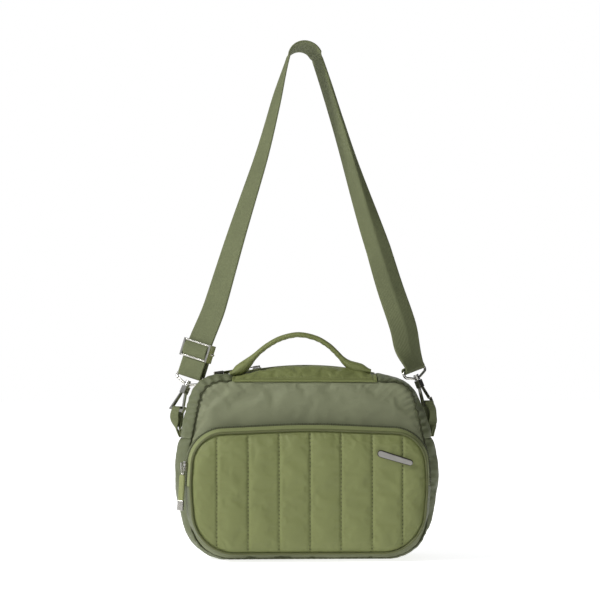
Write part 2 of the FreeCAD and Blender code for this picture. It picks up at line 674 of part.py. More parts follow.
def strap_side(side):
    """The frames of one end of the strap, as a dictionary of placements.

    strap: origin on the webbing at the ring, X across the webbing, Z up along it, Y to its back.
    ring: origin in the middle of the ring's bar, X along the bar, Z away from the hook.
    hook: origin in the middle of the hook's lower bar, X along that bar, Z up to the swivel.
    """
    base = Vector(value(f"{side}_base_x"), value("strap_y"), value(f"{side}_base_z"))
    apex = Vector(value("apex_x"), value("strap_y"), value("apex_z"))
    to_apex = apex - base
    outward = 1 if side == "left" else -1
    angle = math.atan2(to_apex.z, to_apex.x)
    angle += outward * math.asin(value("apex_rad") / to_apex.Length)
    along = Vector(math.cos(angle), 0, math.sin(angle))
    across = Vector(math.sin(angle), 0, -math.cos(angle))
    run = math.sqrt(to_apex.Length ** 2 - value("apex_rad") ** 2)

    def webbing(distance, turn):
        """The webbing's frame some way up the run, turned about it."""
        width = across * math.cos(math.radians(turn)) + Vector(0, 1, 0) * math.sin(math.radians(turn))
        return frame_at(base + along * distance, width, along)

    turn = value(f"{side}_turn")
    strap = webbing(0, turn)
    bar = strap.multVec(Vector(0, value("layer_gap"), 0))
    width = strap.Rotation.multVec(Vector(1, 0, 0))
    aim = bar - Vector(value(f"{side}_hook_x"), value("strap_y"), value(f"{side}_hook_z"))
    up = (aim - width * aim.dot(width)).normalize()
    ring = frame_at(bar, width, up)
    foot = bar - up * value("hook_reach")
    swivel = Rotation(Vector(0, 0, 1), value(f"{side}_swivel"))
    hook = Placement(foot, ring.Rotation.multiply(swivel))
    return {"strap": strap, "ring": ring, "hook": hook, "webbing": webbing, "run": run, "turn": turn,
            "angle": angle, "outward": outward}


def band_section(name, placement):
    """The webbing's cross-section, a sketch square to the run."""
    sketch = doc.addObject("Sketcher::SketchObject", name)
    sketch.Placement = placement
    half, thin = "strap_wide / 2", "strap_thick / 2"
    rectangle(sketch, f"-1 * {half}", half, f"-1 * {thin}", thin)
    return sketch


def bend(name, placement, radius, start, end):
    """A sector of webbing bent about the placement's X axis, centred on it."""
    width = value("strap_wide")
    sketch = doc.addObject("Sketcher::SketchObject", f"{name}_section")
    sketch.Placement = placement.multiply(Placement(Vector(-width / 2, 0, 0),
                                                    Rotation(Vector(0, 1, 0), Vector(0, 0, 1),
                                                             Vector(1, 0, 0), "ZXY")))
    origin = Vector(0, 0, 0)
    rims = (f"{radius} + strap_thick / 2", f"{radius} - strap_thick / 2")
    circles = [Part.Circle(origin, Vector(0, 0, 1), value(rim)) for rim in rims]
    arcs = [sketch.addGeometry(Part.ArcOfCircle(circle, start, end), False) for circle in circles]
    for arc, rim in zip(arcs, rims):
        sketch.addConstraint(Sketcher.Constraint("Coincident", arc, 3, -1, 1))
        dimension(sketch, "Radius", (arc,), rim)
    for point in (1, 2):
        ends = [sketch.getPoint(arc, point) for arc in arcs]
        line = sketch.addGeometry(Part.LineSegment(*ends), False)
        sketch.addConstraint(Sketcher.Constraint("Coincident", arcs[0], point, line, 1))
        sketch.addConstraint(Sketcher.Constraint("Coincident", arcs[1], point, line, 2))
    item = doc.addObject("Part::Extrusion", name)
    item.Base = sketch
    item.DirMode = "Normal"
    drive(item, "LengthFwd", "strap_wide")
    item.Solid = True
    return item


def strap(sides):
    """The webbing from the right ring over the apex to the left ring, and the layer that doubles
    back from the left ring to the adjuster."""
    pieces = []
    steps = 4
    gap = value("layer_gap")
    for side, frames in sides.items():
        webbing, run = frames["webbing"], frames["run"]
        edge_on = -90 if frames["turn"] < 0 else 90
        flat = value("flat_run") if side == "left" else 0
        stations = [(0, frames["turn"])] if flat else []
        for step in range(steps + 1):
            share = step / steps
            turn = frames["turn"] + (edge_on - frames["turn"]) * share
            stations.append((flat + (run - flat) * share, turn))
        sections = [band_section(f"{side}_band_{i}", webbing(*station))
                    for i, station in enumerate(stations)]
        leg = doc.addObject("Part::Loft", f"{side}_leg")
        leg.Sections = sections
        leg.Solid = True
        leg.Ruled = True
        pieces.append(leg)
        turn_centre = frames["strap"].multiply(Placement(Vector(0, gap, 0), Rotation()))
        quarter = math.pi / 2
        end = 2 * math.pi if side == "left" else 2 * math.pi + quarter
        pieces.append(bend(f"{side}_ring_turn", turn_centre, "layer_gap", math.pi, end))
    apex = Placement(Vector(value("apex_x"), value("strap_y"), value("apex_z")),
                     Rotation(Vector(0, 0, 1), 90))
    start = sides["right"]["angle"] - math.pi / 2
    end = sides["left"]["angle"] + math.pi / 2
    pieces.append(bend("apex_turn", apex, "apex_rad", math.pi - end, math.pi - start))
    node(union("webbing_fused", pieces), "strap_webbing")

    half = "strap_wide / 2"
    layer = box("return_layer", (f"-1 * {half}", half),
                ("layer_gap * 2 - strap_thick / 2", "layer_gap * 2 + strap_thick / 2"),
                ("0.1", "return_long"), sides["left"]["strap"])
    node(layer, "strap_return")


def adjuster(frames):
    """The buckle on the left run: two bars in front of the webbing, one post behind it."""
    seat = frames["strap"].multiply(Placement(Vector(0, 0, value("buckle_at")), Rotation()))
    buckle = new_body("slider_frame", seat)
    outer = "rail_x + rail_wide"
    for sign, letter in (("", "a"), ("-1 * ", "b")):
        rail = body_sketch(buckle, f"rail_{letter}", "XY_Plane", "-1 * buckle_half")
        rectangle(rail, f"{sign}rail_x", f"{sign}( {outer} )", "rail_front", "rail_back")
        extrude(buckle, "Pad", rail, "buckle_half * 2")
    for sign, letter in (("", "c"), ("-1 * ", "d")):
        bar = body_sketch(buckle, f"bar_{letter}", "YZ_Plane", "-1 * ( rail_x + rail_wide / 2 )")
        disc(bar, "buckle_bar_front", f"{sign}( buckle_half - buckle_bar_rad )", "buckle_bar_rad")
        extrude(buckle, "Pad", bar, "rail_x * 2 + rail_wide")
    hole = body_sketch(buckle, "post_hole", "YZ_Plane", f"-1 * ( {outer} ) - 1")
    disc(hole, "post_y", "0", "post_rad")
    extrude(buckle, "Pocket", hole, f"( {outer} ) * 2 + 2", reverse=True)
    node(buckle, "slider_frame")

    sideways = Rotation(Vector(0, 1, 0), 90)
    spot = seat.multiply(Placement(Vector(-value("post_half"), value("post_y"), 0), sideways))
    node(cylinder("post", "post_rad", "post_half * 2", spot), "slider_bar")

    eye_centre = seat.multiply(Placement(Vector(-value("strap_wide") / 2, value("post_y"), 0), sideways))
    eye_outer = cylinder("eye_outer", "post_rad + eye_play + eye_thick", "strap_wide", eye_centre)
    half = "strap_wide / 2"
    back = "post_y + post_rad + eye_play + eye_thick"
    tail = box("eye_tail", (f"-1 * {half}", half), (f"{back} - eye_thick", back),
               ("-1 * eye_tab", "0"), seat)
    whole = union("eye_whole", [eye_outer, tail])
    eye_bore = cylinder("eye_bore", "post_rad + eye_play", "strap_wide", eye_centre)
    node(boolean("Cut", "eye_cut", whole, eye_bore), "strap_end_loop")


def strap_ring(side, frames):
    """A wire D ring with the swivel's hub in the middle of its bow."""
    ring = new_body(f"{side}_ring", frames["ring"])
    path = body_sketch(ring, f"{side}_ring_path", "XZ_Plane")
    low = "-1 * ring_corner_rad"
    belt(path, [("0", "ring_bow_rad - ring_drop", "ring_bow_rad"),
                ("ring_corner_x", low, "ring_corner_rad"),
                ("-1 * ring_corner_x", low, "ring_corner_rad")])
    profile = body_sketch(ring, f"{side}_ring_wire", "YZ_Plane")
    disc(profile, "0", "0", "ring_wire")
    sweep_along(ring, profile, path)
    hub = body_sketch(ring, f"{side}_hub", "XY_Plane", "-1 * hub_low")
    disc(hub, "0", "0", "hub_rad")
    extrude(ring, "Pad", hub, "hub_low - hub_high")
    bore = body_sketch(ring, f"{side}_hub_bore", "XY_Plane", "-1 * hub_low - 1")
    disc(bore, "0", "0", "hub_bore")
    extrude(ring, "Pocket", bore, "hub_low - hub_high + 3", reverse=True)
    node(ring, f"{side}_ring")


def snap_hook(side, frames):
    """A trapezoid hook: one fixed leg, and a sprung gate for the other."""
    place = frames["hook"]
    hook = new_body(f"{side}_hook", place)
    sketch = body_sketch(hook, f"{side}_hook_outline", "XZ_Plane", "-1 * hook_wire")
    polygon(sketch, [
        ("-1 * hook_half", "-1 * hook_wire"), ("hook_half + nose_out", "-1 * hook_wire"),
        ("hook_half + nose_out", "nose_top"), ("gate_tip_x + gate_wide / 2 + nose_gap", "nose_top"),
        ("gate_tip_x + gate_wide / 2 + nose_gap", "hook_wire"),
        ("-1 * hook_half + hook_wire * 2 + block_flare", "hook_wire"),
        ("-1 * block_half + leg_root", "block_low"), ("block_half", "block_low"),
        ("block_half", "block_high"), ("-1 * block_half", "block_high"),
        ("-1 * block_half - block_flare", "block_low"),
    ])
    extrude(hook, "Pad", sketch, "hook_wire * 2")
    cheeks = body_sketch(hook, f"{side}_cheeks", "XZ_Plane", "-1 * block_deep")
    rectangle(cheeks, "-1 * block_half", "block_half", "block_low", "block_high")
    extrude(hook, "Pad", cheeks, "block_deep * 2")
    slot = body_sketch(hook, f"{side}_slot", "XZ_Plane", "-1 * slot_half")
    rectangle(slot, "slot_x", "block_half + 1", "block_low - 1", "block_high - slot_top")
    extrude(hook, "Pocket", slot, "slot_half * 2", reverse=True)
    bore = body_sketch(hook, f"{side}_pin_hole", "XZ_Plane", "-1 * block_deep - 1")
    disc(bore, "pin_x", "pin_z", "pin_rad")
    extrude(hook, "Pocket", bore, "block_deep * 2 + 2", reverse=True)
    node(hook, f"{side}_hook_frame")

    gate = new_body(f"{side}_gate", place)
    eye = body_sketch(gate, f"{side}_gate_eye", "XZ_Plane", "-1 * gate_half")
    disc(eye, "pin_x", "pin_z", "eye_rad")
    extrude(gate, "Pad", eye, "gate_half * 2")
    arm = body_sketch(gate, f"{side}_gate_arm", "XZ_Plane", "-1 * gate_half")
    polygon(arm, [
        ("pin_x - gate_root_in", "pin_z"), ("gate_tip_x - gate_wide / 2", "gate_tip_z"),
        ("gate_tip_x + gate_wide / 2", "gate_tip_z"), ("pin_x + gate_root_out", "pin_z"),
    ])
    extrude(gate, "Pad", arm, "gate_half * 2")
    bore = body_sketch(gate, f"{side}_gate_hole", "XZ_Plane", "-1 * gate_half - 1")
    disc(bore, "pin_x", "pin_z", "pin_bore")
    extrude(gate, "Pocket", bore, "gate_half * 2 + 2", reverse=True)
    node(gate, f"{side}_gate")

    crossways = Rotation(Vector(1, 0, 0), -90)
    pin_x, pin_z = value("pin_x"), value("pin_z")
    pin_at = place.multiply(Placement(Vector(pin_x, -value("block_deep"), pin_z), crossways))
    node(cylinder(f"{side}_pin", "pin_rad", "block_deep * 2", pin_at), f"{side}_gate_pin")
    spring = doc.addObject("Part::Torus", f"{side}_spring")
    drive(spring, "Radius1", "spring_rad")
    drive(spring, "Radius2", "spring_wire")
    spring_y = value("gate_half + slot_half") / 2
    spring.Placement = place.multiply(Placement(Vector(pin_x, spring_y, pin_z), crossways))
    node(spring, f"{side}_gate_spring")

    shaft_at = place.multiply(Placement(Vector(0, 0, value("block_high")), Rotation()))
    head_at = place.multiply(Placement(Vector(0, 0, value("head_low")), Rotation()))
    shaft = cylinder(f"{side}_shaft", "shaft_rad", "head_high - block_high", shaft_at)
    head = cylinder(f"{side}_head", "head_rad", "head_high - head_low", head_at)
    node(union(f"{side}_post", [shaft, head]), f"{side}_swivel_post")


def side_tab(side, frames):
    """A loop of webbing in the side seam that the hook's bar passes through."""
    hook = frames["hook"]
    along = hook.Rotation.multVec(Vector(1, 0, 0))
    along.z = 0
    along = along.normalize()
    place = frame_at(hook.Base, along.cross(Vector(0, 0, 1)), Vector(0, 0, 1))
    facing = place.Rotation.multVec(Vector(1, 0, 0)).x
    reach = (value(f"{side}_root_x") - hook.Base.x) / facing
    tab = new_body(f"{side}_tab", place)
    sketch = body_sketch(tab, f"{side}_tab_outline", "XZ_Plane", "-1 * tab_wide / 2")
    root_z = str(value("tab_root_z") - hook.Base.z)
    for thinner in ("0", "tab_thick"):
        top = ("0", "-1 * tab_top_drop", f"tab_top_rad - {thinner}")
        root = (str(reach), root_z, f"tab_root_rad - {thinner}")
        belt(sketch, [root, top])
    extrude(tab, "Pad", sketch, "tab_wide")
    node(tab, f"{side}_tab")


def build():
    main_compartment()
    front_pocket()
    handle()
    seat = pocket_zip_seat()
    zip_slider("pocket_zip", seat)
    zip_puller("pocket_zip", hang_from(seat, value("puller_lean")), value("puller_twist"))
    seat = main_zip_seat()
    zip_slider("main_zip", seat)
    zip_puller("main_zip", hang_from(seat, 0), 0)
    sides = {side: strap_side(side) for side in ("left", "right")}
    strap(sides)
    adjuster(sides["left"])
    for side, frames in sides.items():
        strap_ring(side, frames)
        snap_hook(side, frames)
        side_tab(side, frames)


def check():
    """Stop if any object failed or any piece has no valid solid."""
    doc.recompute()
    for item in doc.Objects:
        if "Invalid" in item.State or "Error" in item.State:
            raise RuntimeError(f"{item.Name} failed: {item.State}")
    for item in NODES:
        if item.Shape.isNull() or not item.Shape.isValid() or not item.Shape.Solids:
            raise RuntimeError(f"{item.Label} has no valid solid")


def write():
    os.makedirs("parts", exist_ok=True)
    for item in NODES:
        item.Shape.exportStep(f"parts/{item.Label}.step")


build()
check()
write()
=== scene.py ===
"""Looks of the crossbody purse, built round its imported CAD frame.

Shapes are worked out in millimetres, in the frame of the CAD, and become metres in `mesh_piece`.
"""

import json
import math

import bpy
import numpy as np
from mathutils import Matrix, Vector, noise


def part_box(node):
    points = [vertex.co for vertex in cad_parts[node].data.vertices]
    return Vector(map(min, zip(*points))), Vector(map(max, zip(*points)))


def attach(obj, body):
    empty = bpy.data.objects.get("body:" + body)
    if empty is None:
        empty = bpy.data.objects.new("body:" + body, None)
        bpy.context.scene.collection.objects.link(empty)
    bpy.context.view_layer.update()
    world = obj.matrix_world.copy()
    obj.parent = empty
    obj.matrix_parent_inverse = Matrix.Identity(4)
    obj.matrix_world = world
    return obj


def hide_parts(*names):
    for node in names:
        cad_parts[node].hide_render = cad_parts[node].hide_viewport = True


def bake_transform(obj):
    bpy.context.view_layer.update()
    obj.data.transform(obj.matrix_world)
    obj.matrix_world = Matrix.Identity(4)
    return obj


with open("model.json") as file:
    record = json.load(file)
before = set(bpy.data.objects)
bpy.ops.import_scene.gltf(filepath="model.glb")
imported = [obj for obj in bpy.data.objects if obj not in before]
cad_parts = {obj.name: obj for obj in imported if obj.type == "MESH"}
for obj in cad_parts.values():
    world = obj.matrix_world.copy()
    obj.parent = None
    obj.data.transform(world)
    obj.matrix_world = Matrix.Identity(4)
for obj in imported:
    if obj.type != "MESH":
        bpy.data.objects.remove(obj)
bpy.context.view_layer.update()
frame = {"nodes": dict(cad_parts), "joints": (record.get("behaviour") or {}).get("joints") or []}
MM = 0.001
SCENE = bpy.context.scene

# Outlines across the bag: a lower corner, a side and an upper corner circle (x, z, radius), and one
# wide crown circle, mirrored left to right.
SEAM = [(76, 41.5, 40.7), (6, 80, 116), (82, 152, 22), (0, -325.5, 500)]
MIDDLE = [(77, 46, 46.6), (6, 84, 125), (83, 151, 29), (0, -118, 310)]
FACE = [(72.5, 50.5, 41.5), (-34, 76, 149.7), (83.5, 95, 31.2), (0, -571, 700)]
BASE = [(73.5, 53.5, 47.5), (-34, 76, 156.3), (83.5, 95, 38.2), (0, -571, 707.5)]
FRONT_Y, BACK_Y, MID_Y = -22.0, 42.0, 10.0
FACE_Y, POCKET_BASE_Y = -44.0, -22.0
SIDE_SEAM_Z = 120.0
ZIP_END_Z = 74.0
QUILT_LINES = [-91.0, -60.3, -29.8, 0.7, 31.3, 62.0, 92.0]


# ------------------------------------------------------------------ outlines

def mixed(first, second, share):
    """The outline part of the way from one to the other."""
    return [tuple(a + (b - a) * share for a, b in zip(one, two)) for one, two in zip(first, second)]


def outline(circles, inset=0.0):
    """Closely spaced points (x, z) once round the outline, from its lowest middle, anticlockwise
    seen from the front. The last point is the first again."""
    right = [(x, z, r - inset) for x, z, r in circles[:3]]
    crown = [(0.0, circles[3][1], circles[3][2] - inset)]
    belt = right + crown + [(-x, z, r) for x, z, r in reversed(right)]
    normals = []
    for (x, z, r), (x2, z2, r2) in zip(belt, belt[1:] + belt[:1]):
        reach = math.hypot(x2 - x, z2 - z)
        normals.append(math.atan2(z2 - z, x2 - x) - math.acos((r - r2) / reach))
    points = []
    for index, (x, z, r) in enumerate(belt):
        start = normals[index - 1]
        turn = (normals[index] - start) % (2 * math.pi)
        for angle in start + turn * np.linspace(0, 1, 160):
            points.append((x + r * math.cos(angle), z + r * math.sin(angle)))
    points = np.array(points)
    middle = (points[0] + points[-1]) / 2
    return np.vstack([middle, points, middle])


def lengths(points):
    """Distance along a line of points, from its start to each point."""
    steps = np.linalg.norm(np.diff(points, axis=0), axis=1)
    return np.concatenate([[0], np.cumsum(steps)])


def evenly(points, count):
    """Equally spaced points along a line of points."""
    along = lengths(points)
    wanted = np.linspace(0, along[-1], count)
    return np.stack([np.interp(wanted, along, column) for column in points.T], axis=1)


def cut_at(points, level, above):
    """The part of a closed outline above or below a height, as an open line. Above runs from
    right to left over the top, below from left to right under the base."""
    z = points[:, 1]
    crossings = np.nonzero((z[:-1] < level) != (z[1:] < level))[0]
    ends = []
    for k in crossings:
        share = (level - z[k]) / (z[k + 1] - z[k])
        ends.append(points[k] + (points[k + 1] - points[k]) * share)
    first, last = crossings[0], crossings[-1]
    if above:
        return np.vstack([ends[0], points[first + 1:last + 1], ends[-1]])
    return np.vstack([ends[-1], points[last + 1:-1], points[:first + 1], ends[0]])


def edge_distance(points, x, z):
    """Distance of each point (x, z) from an outline."""
    line = evenly(points, 900)
    flat = np.stack([x.ravel(), z.ravel()], axis=1)
    result = np.empty(len(flat))
    for start in range(0, len(flat), 4000):
        chunk = flat[start:start + 4000]
        result[start:start + 4000] = np.sqrt(
            ((chunk[:, None, :] - line[None, :, :]) ** 2).sum(axis=2)).min(axis=1)
    return result.reshape(x.shape)


# ------------------------------------------------------------------ sheets and meshes

def patch(points, rows, columns):
    """A grid of (x, z) that fills a closed outline: its four sides meet in the rounded corners."""
    loop = evenly(points, 2001)[:-1]
    half = [k for k in range(len(loop)) if loop[k, 0] > 0]
    diagonal = loop[:, 0] / 120 - (loop[:, 1] - 90) / 75
    lower = min((k for k in half if loop[k, 1] < 90), key=lambda k: abs(abs(loop[k, 0]) / 120
                                                                       + (loop[k, 1] - 90) / 75))
    upper = min((k for k in half if loop[k, 1] > 90), key=lambda k: abs(diagonal[k]))
    count = len(loop)
    right = evenly(loop[lower:upper + 1], rows)
    top = evenly(loop[upper:count - upper + 1], columns)[::-1]
    left = evenly(loop[count - upper:count - lower + 1], rows)[::-1]
    bottom = evenly(np.vstack([loop[count - lower:], loop[:lower + 1]]), columns)
    u = np.linspace(0, 1, columns)[None, :, None]
    v = np.linspace(0, 1, rows)[:, None, None]
    across = (1 - u) * left[:, None, :] + u * right[:, None, :]
    upward = (1 - v) * bottom[None] + v * top[None]
    corners = ((1 - u) * (1 - v) * bottom[0] + u * (1 - v) * bottom[-1]
               + (1 - u) * v * top[0] + u * v * top[-1])
    return across + upward - corners


def normals_of(grid):
    """Unit normals of a grid of points: columns cross rows."""
    along = np.gradient(grid, axis=1)
    across = np.gradient(grid, axis=0)
    normal = np.cross(along, across)
    size = np.linalg.norm(normal, axis=2, keepdims=True)
    return normal / np.maximum(size, 1e-9)


def grid_faces(rows, columns, offset=0, flip=False):
    r, c = np.meshgrid(np.arange(rows - 1), np.arange(columns - 1), indexing="ij")
    a = offset + r * columns + c
    quads = np.stack([a, a + 1, a + columns + 1, a + columns], axis=-1).reshape(-1, 4)
    return quads[:, ::-1] if flip else quads


def rim_faces(rows, columns, offset, flip):
    """Quads round the border between a grid and its copy that starts at the offset."""
    loop = ([c for c in range(columns)] + [r * columns + columns - 1 for r in range(1, rows)]
            + [(rows - 1) * columns + c for c in range(columns - 2, -1, -1)]
            + [r * columns for r in range(rows - 2, 0, -1)])
    quads = [(a, b, b + offset, a + offset) for a, b in zip(loop, loop[1:] + loop[:1])]
    quads = np.array(quads)
    return quads if flip else quads[:, ::-1]


def mesh_piece(name, points, faces, material, uv=None, smooth=True):
    """A Blender mesh object from points in millimetres."""
    mesh = bpy.data.meshes.new(name)
    mesh.from_pydata((np.asarray(points) * MM).tolist(), [], [list(map(int, f)) for f in faces])
    mesh.validate()
    if uv is not None:
        layer = mesh.uv_layers.new(name="cloth")
        index = np.empty(len(mesh.loops), int)
        mesh.loops.foreach_get("vertex_index", index)
        layer.data.foreach_set("uv", np.asarray(uv, float)[index].ravel())
    mesh.polygons.foreach_set("use_smooth", [smooth] * len(mesh.polygons))
    mesh.materials.append(material)
    mesh.update()
    piece = bpy.data.objects.new(name, mesh)
    SCENE.collection.objects.link(piece)
    return piece


def sheet_piece(name, grid, thick, material, centred=False, inner=None):
    """A sheet of cloth as a closed mesh: the grid is its outer face, and `inner` its inner one,
    or the grid moved in by the thickness."""
    rows, columns = grid.shape[:2]
    normal = normals_of(grid)
    outer = grid + normal * (thick / 2 if centred else 0)
    if inner is None:
        inner = grid - normal * (thick / 2 if centred else thick)
    count = rows * columns
    points = np.vstack([outer.reshape(-1, 3), inner.reshape(-1, 3)])
    faces = np.vstack([grid_faces(rows, columns), grid_faces(rows, columns, count, flip=True),
                       rim_faces(rows, columns, count, False)])
    u = lengths(grid[rows // 2])
    v = lengths(grid[:, columns // 2])
    uv = np.stack(np.broadcast_arrays(u[None, :], v[:, None]), axis=2).reshape(-1, 2)
    return mesh_piece(name, points, faces, material, np.vstack([uv, uv]))


def tube_piece(name, path, across, half_wide, half_thick, material, sides=24, power=2.0, closed=False,
               shape=None):
    """A tube along a path. Its section is an oval, half_wide along `across` and half_thick
    square to it; both are one number or one to a point."""
    count = len(path)
    if closed:
        tangent = np.roll(path, -1, axis=0) - np.roll(path, 1, axis=0)
    else:
        tangent = np.gradient(path, axis=0)
    tangent /= np.linalg.norm(tangent, axis=1, keepdims=True)
    across = np.broadcast_to(np.asarray(across, float), path.shape)
    across = across - tangent * (across * tangent).sum(axis=1, keepdims=True)
    across = across / np.linalg.norm(across, axis=1, keepdims=True)
    out = np.cross(across, tangent)
    angle = np.arange(sides) * 2 * math.pi / sides
    cosine, sine = np.cos(angle), np.sin(angle)
    bulge = (np.abs(cosine) ** power + np.abs(sine) ** power) ** (-1 / power)
    wide = np.broadcast_to(half_wide, count)[:, None] * (cosine * bulge)[None, :]
    thick = np.broadcast_to(half_thick, count)[:, None] * (sine * bulge)[None, :]
    if shape is not None:
        wide, thick = shape(wide, thick, angle, lengths(path))
    grid = path[:, None, :] + across[:, None, :] * wide[..., None] + out[:, None, :] * thick[..., None]
    points = grid.reshape(-1, 3)
    rings = count if closed else count - 1
    faces = []
    for r in range(rings):
        a, b = r * sides, ((r + 1) % count) * sides
        for s in range(sides):
            t = (s + 1) % sides
            faces.append((a + s, b + s, b + t, a + t))
    if not closed:
        faces.append(tuple(range(sides)))
        faces.append(tuple(reversed(range((count - 1) * sides, count * sides))))
    along = lengths(path)
    girth = 2 * math.pi * float(np.mean(half_wide) + np.mean(half_thick)) / 2
    uv = np.stack(np.broadcast_arrays(along[:, None], (angle * girth / (2 * math.pi))[None, :]), axis=2)
    return mesh_piece(name, points, faces, material, uv.reshape(-1, 2))


def smooth_path(points, count):
    """A Catmull-Rom curve through the points, sampled evenly."""
    points = np.asarray(points, float)
    padded = np.vstack([2 * points[0] - points[1], points, 2 * points[-1] - points[-2]])
    line = []
    for a, b, c, d in zip(padded, padded[1:], padded[2:], padded[3:]):
        for t in np.linspace(0, 1, 24, endpoint=False):
            line.append(0.5 * (2 * b + (c - a) * t + (2 * a - 5 * b + 4 * c - d) * t * t
                               + (3 * b - a - 3 * c + d) * t ** 3))
    line.append(points[-1])
    return evenly(np.array(line), count)


def ramp(value, low, high):
    """0 below low, 1 above high, and a smooth step between."""
    share = np.clip((np.asarray(value, float) - low) / (high - low), 0, 1)
    return share * share * (3 - 2 * share)


def crumple(grid, size, seed, detail=3):
    """Smooth noise from about -1 to 1 at each point, with features of about that size."""
    flat = grid.reshape(-1, 3) / size
    shift = Vector((seed * 7.3, seed * 3.1, seed * 5.7))
    values = [noise.fractal(Vector(point) + shift, 1.0, 2.0, detail) for point in flat]
    return np.array(values).reshape(grid.shape[:2])


def settle(grid, held, swell, pressure, cap, step=3):
    """The sheet after a short cloth simulation. It is cut a little larger than the space that it
    is sewn into, so it buckles between the points that are held."""
    coarse = grid[::step, ::step]
    rows, columns = coarse.shape[:2]
    mesh = bpy.data.meshes.new("settling")
    mesh.from_pydata((coarse.reshape(-1, 3) * MM).tolist(), [], grid_faces(rows, columns).tolist())
    cloth = bpy.data.objects.new("settling", mesh)
    SCENE.collection.objects.link(cloth)
    group = cloth.vertex_groups.new(name="held")
    group.add(np.nonzero(held[::step, ::step].ravel())[0].tolist(), 1.0, "REPLACE")
    modifier = cloth.modifiers.new("cloth", "CLOTH")
    settings = modifier.settings
    settings.quality = 6
    settings.mass = 0.2
    settings.bending_stiffness = 0.8
    settings.vertex_group_mass = "held"
    settings.shrink_min = -swell
    settings.use_pressure = True
    settings.uniform_pressure_force = pressure
    settings.effector_weights.gravity = 0
    modifier.collision_settings.use_collision = False
    modifier.point_cache.frame_start = 1
    modifier.point_cache.frame_end = 20
    for number in range(1, 21):
        SCENE.frame_set(number)
    graph = bpy.context.evaluated_depsgraph_get()
    result = cloth.evaluated_get(graph).to_mesh()
    moved = np.empty(len(result.vertices) * 3)
    result.vertices.foreach_get("co", moved)
    shift = moved.reshape(coarse.shape) / MM - coarse
    SCENE.frame_set(1)
    bpy.data.objects.remove(cloth)
    size = np.linalg.norm(shift, axis=2, keepdims=True)
    shift *= np.tanh(size / cap) * cap / np.maximum(size, 1e-9)
    return grid + finer(shift, step)


def finer(field, step):
    """A coarse grid's values carried on to the fine grid between them, smoothed once."""
    rows, columns = field.shape[:2]
    fine_rows = np.arange((rows - 1) * step + 1) / step
    fine_columns = np.arange((columns - 1) * step + 1) / step
    tall = np.stack([[np.interp(fine_rows, np.arange(rows), field[:, c, k]) for c in range(columns)]
                     for k in range(3)], axis=-1).transpose(1, 0, 2)
    wide = np.stack([[np.interp(fine_columns, np.arange(columns), tall[r, :, k])
                      for r in range(len(fine_rows))] for k in range(3)], axis=-1)
    for axis in (0, 1):
        padded = np.concatenate([wide.take([0], axis), wide, wide.take([-1], axis)], axis)
        length = wide.shape[axis]
        before = padded.take(range(0, length), axis)
        after = padded.take(range(2, length + 2), axis)
        blurred = wide * 0.5 + (before + after) * 0.25
        edge = [0, length - 1]
        if axis == 0:
            blurred[edge] = wide[edge]
        else:
            blurred[:, edge] = wide[:, edge]
        wide = blurred
    return wide


def add_capsule(points, faces, middle, axis, round_axes, lift_axis, profile, sides=6):
    """Add one closed capsule: its profile has (place along the axis, size, lift) for each ring."""
    start = len(points)
    for place, size, lift in profile:
        for s in range(sides):
            a = 2 * math.pi * s / sides
            ring = round_axes[0] * math.cos(a) + round_axes[1] * math.sin(a)
            points.append(middle + axis * place + lift_axis * lift + ring * size)
    last = start + (len(profile) - 1) * sides
    for a in range(start, last, sides):
        for s in range(sides):
            t = (s + 1) % sides
            faces.append((a + s, a + t, a + sides + t, a + sides + s))
    faces.append(tuple(start + s for s in reversed(range(sides))))
    faces.append(tuple(last + s for s in range(sides)))


def stitches(name, runs, material, pitch=4.0, long=2.4, radius=0.35):
    """Sewing thread along lines of (points, outward normals): one small capsule to a stitch."""
    points, faces = [], []
    profile = [(-0.5, 0.25, -0.35), (-0.38, 0.85, -0.05), (0.0, 1.0, 0.1), (0.38, 0.85, -0.05),
               (0.5, 0.25, -0.35)]
    for line, outward in runs:
        along = lengths(line)
        count = max(int(along[-1] / pitch), 1)
        for k in range(count):
            place = (k + 0.5) * along[-1] / count
            ends = [np.array([np.interp(place + d, along, line[:, i]) for i in range(3)])
                    for d in (-long / 2, long / 2)]
            middle = (ends[0] + ends[1]) / 2
            direction = ends[1] - ends[0]
            direction /= max(np.linalg.norm(direction), 1e-9)
            up = np.array([np.interp(place, along, outward[:, i]) for i in range(3)])
            up -= direction * up.dot(direction)
            up /= max(np.linalg.norm(up), 1e-9)
            side = np.cross(direction, up)
            add_capsule(points, faces, middle, direction * long, (side * radius, up * radius),
                        up * radius * 2, profile)
    return mesh_piece(name, np.array(points), faces, material)


# ------------------------------------------------------------------ materials

def srgb(red, green, blue):
    """A colour given as it looks, 0 to 255, as linear values."""
    def linear(level):
        level /= 255
        return level / 12.92 if level <= 0.04045 else ((level + 0.055) / 1.055) ** 2.4
    return (linear(red), linear(green), linear(blue), 1.0)


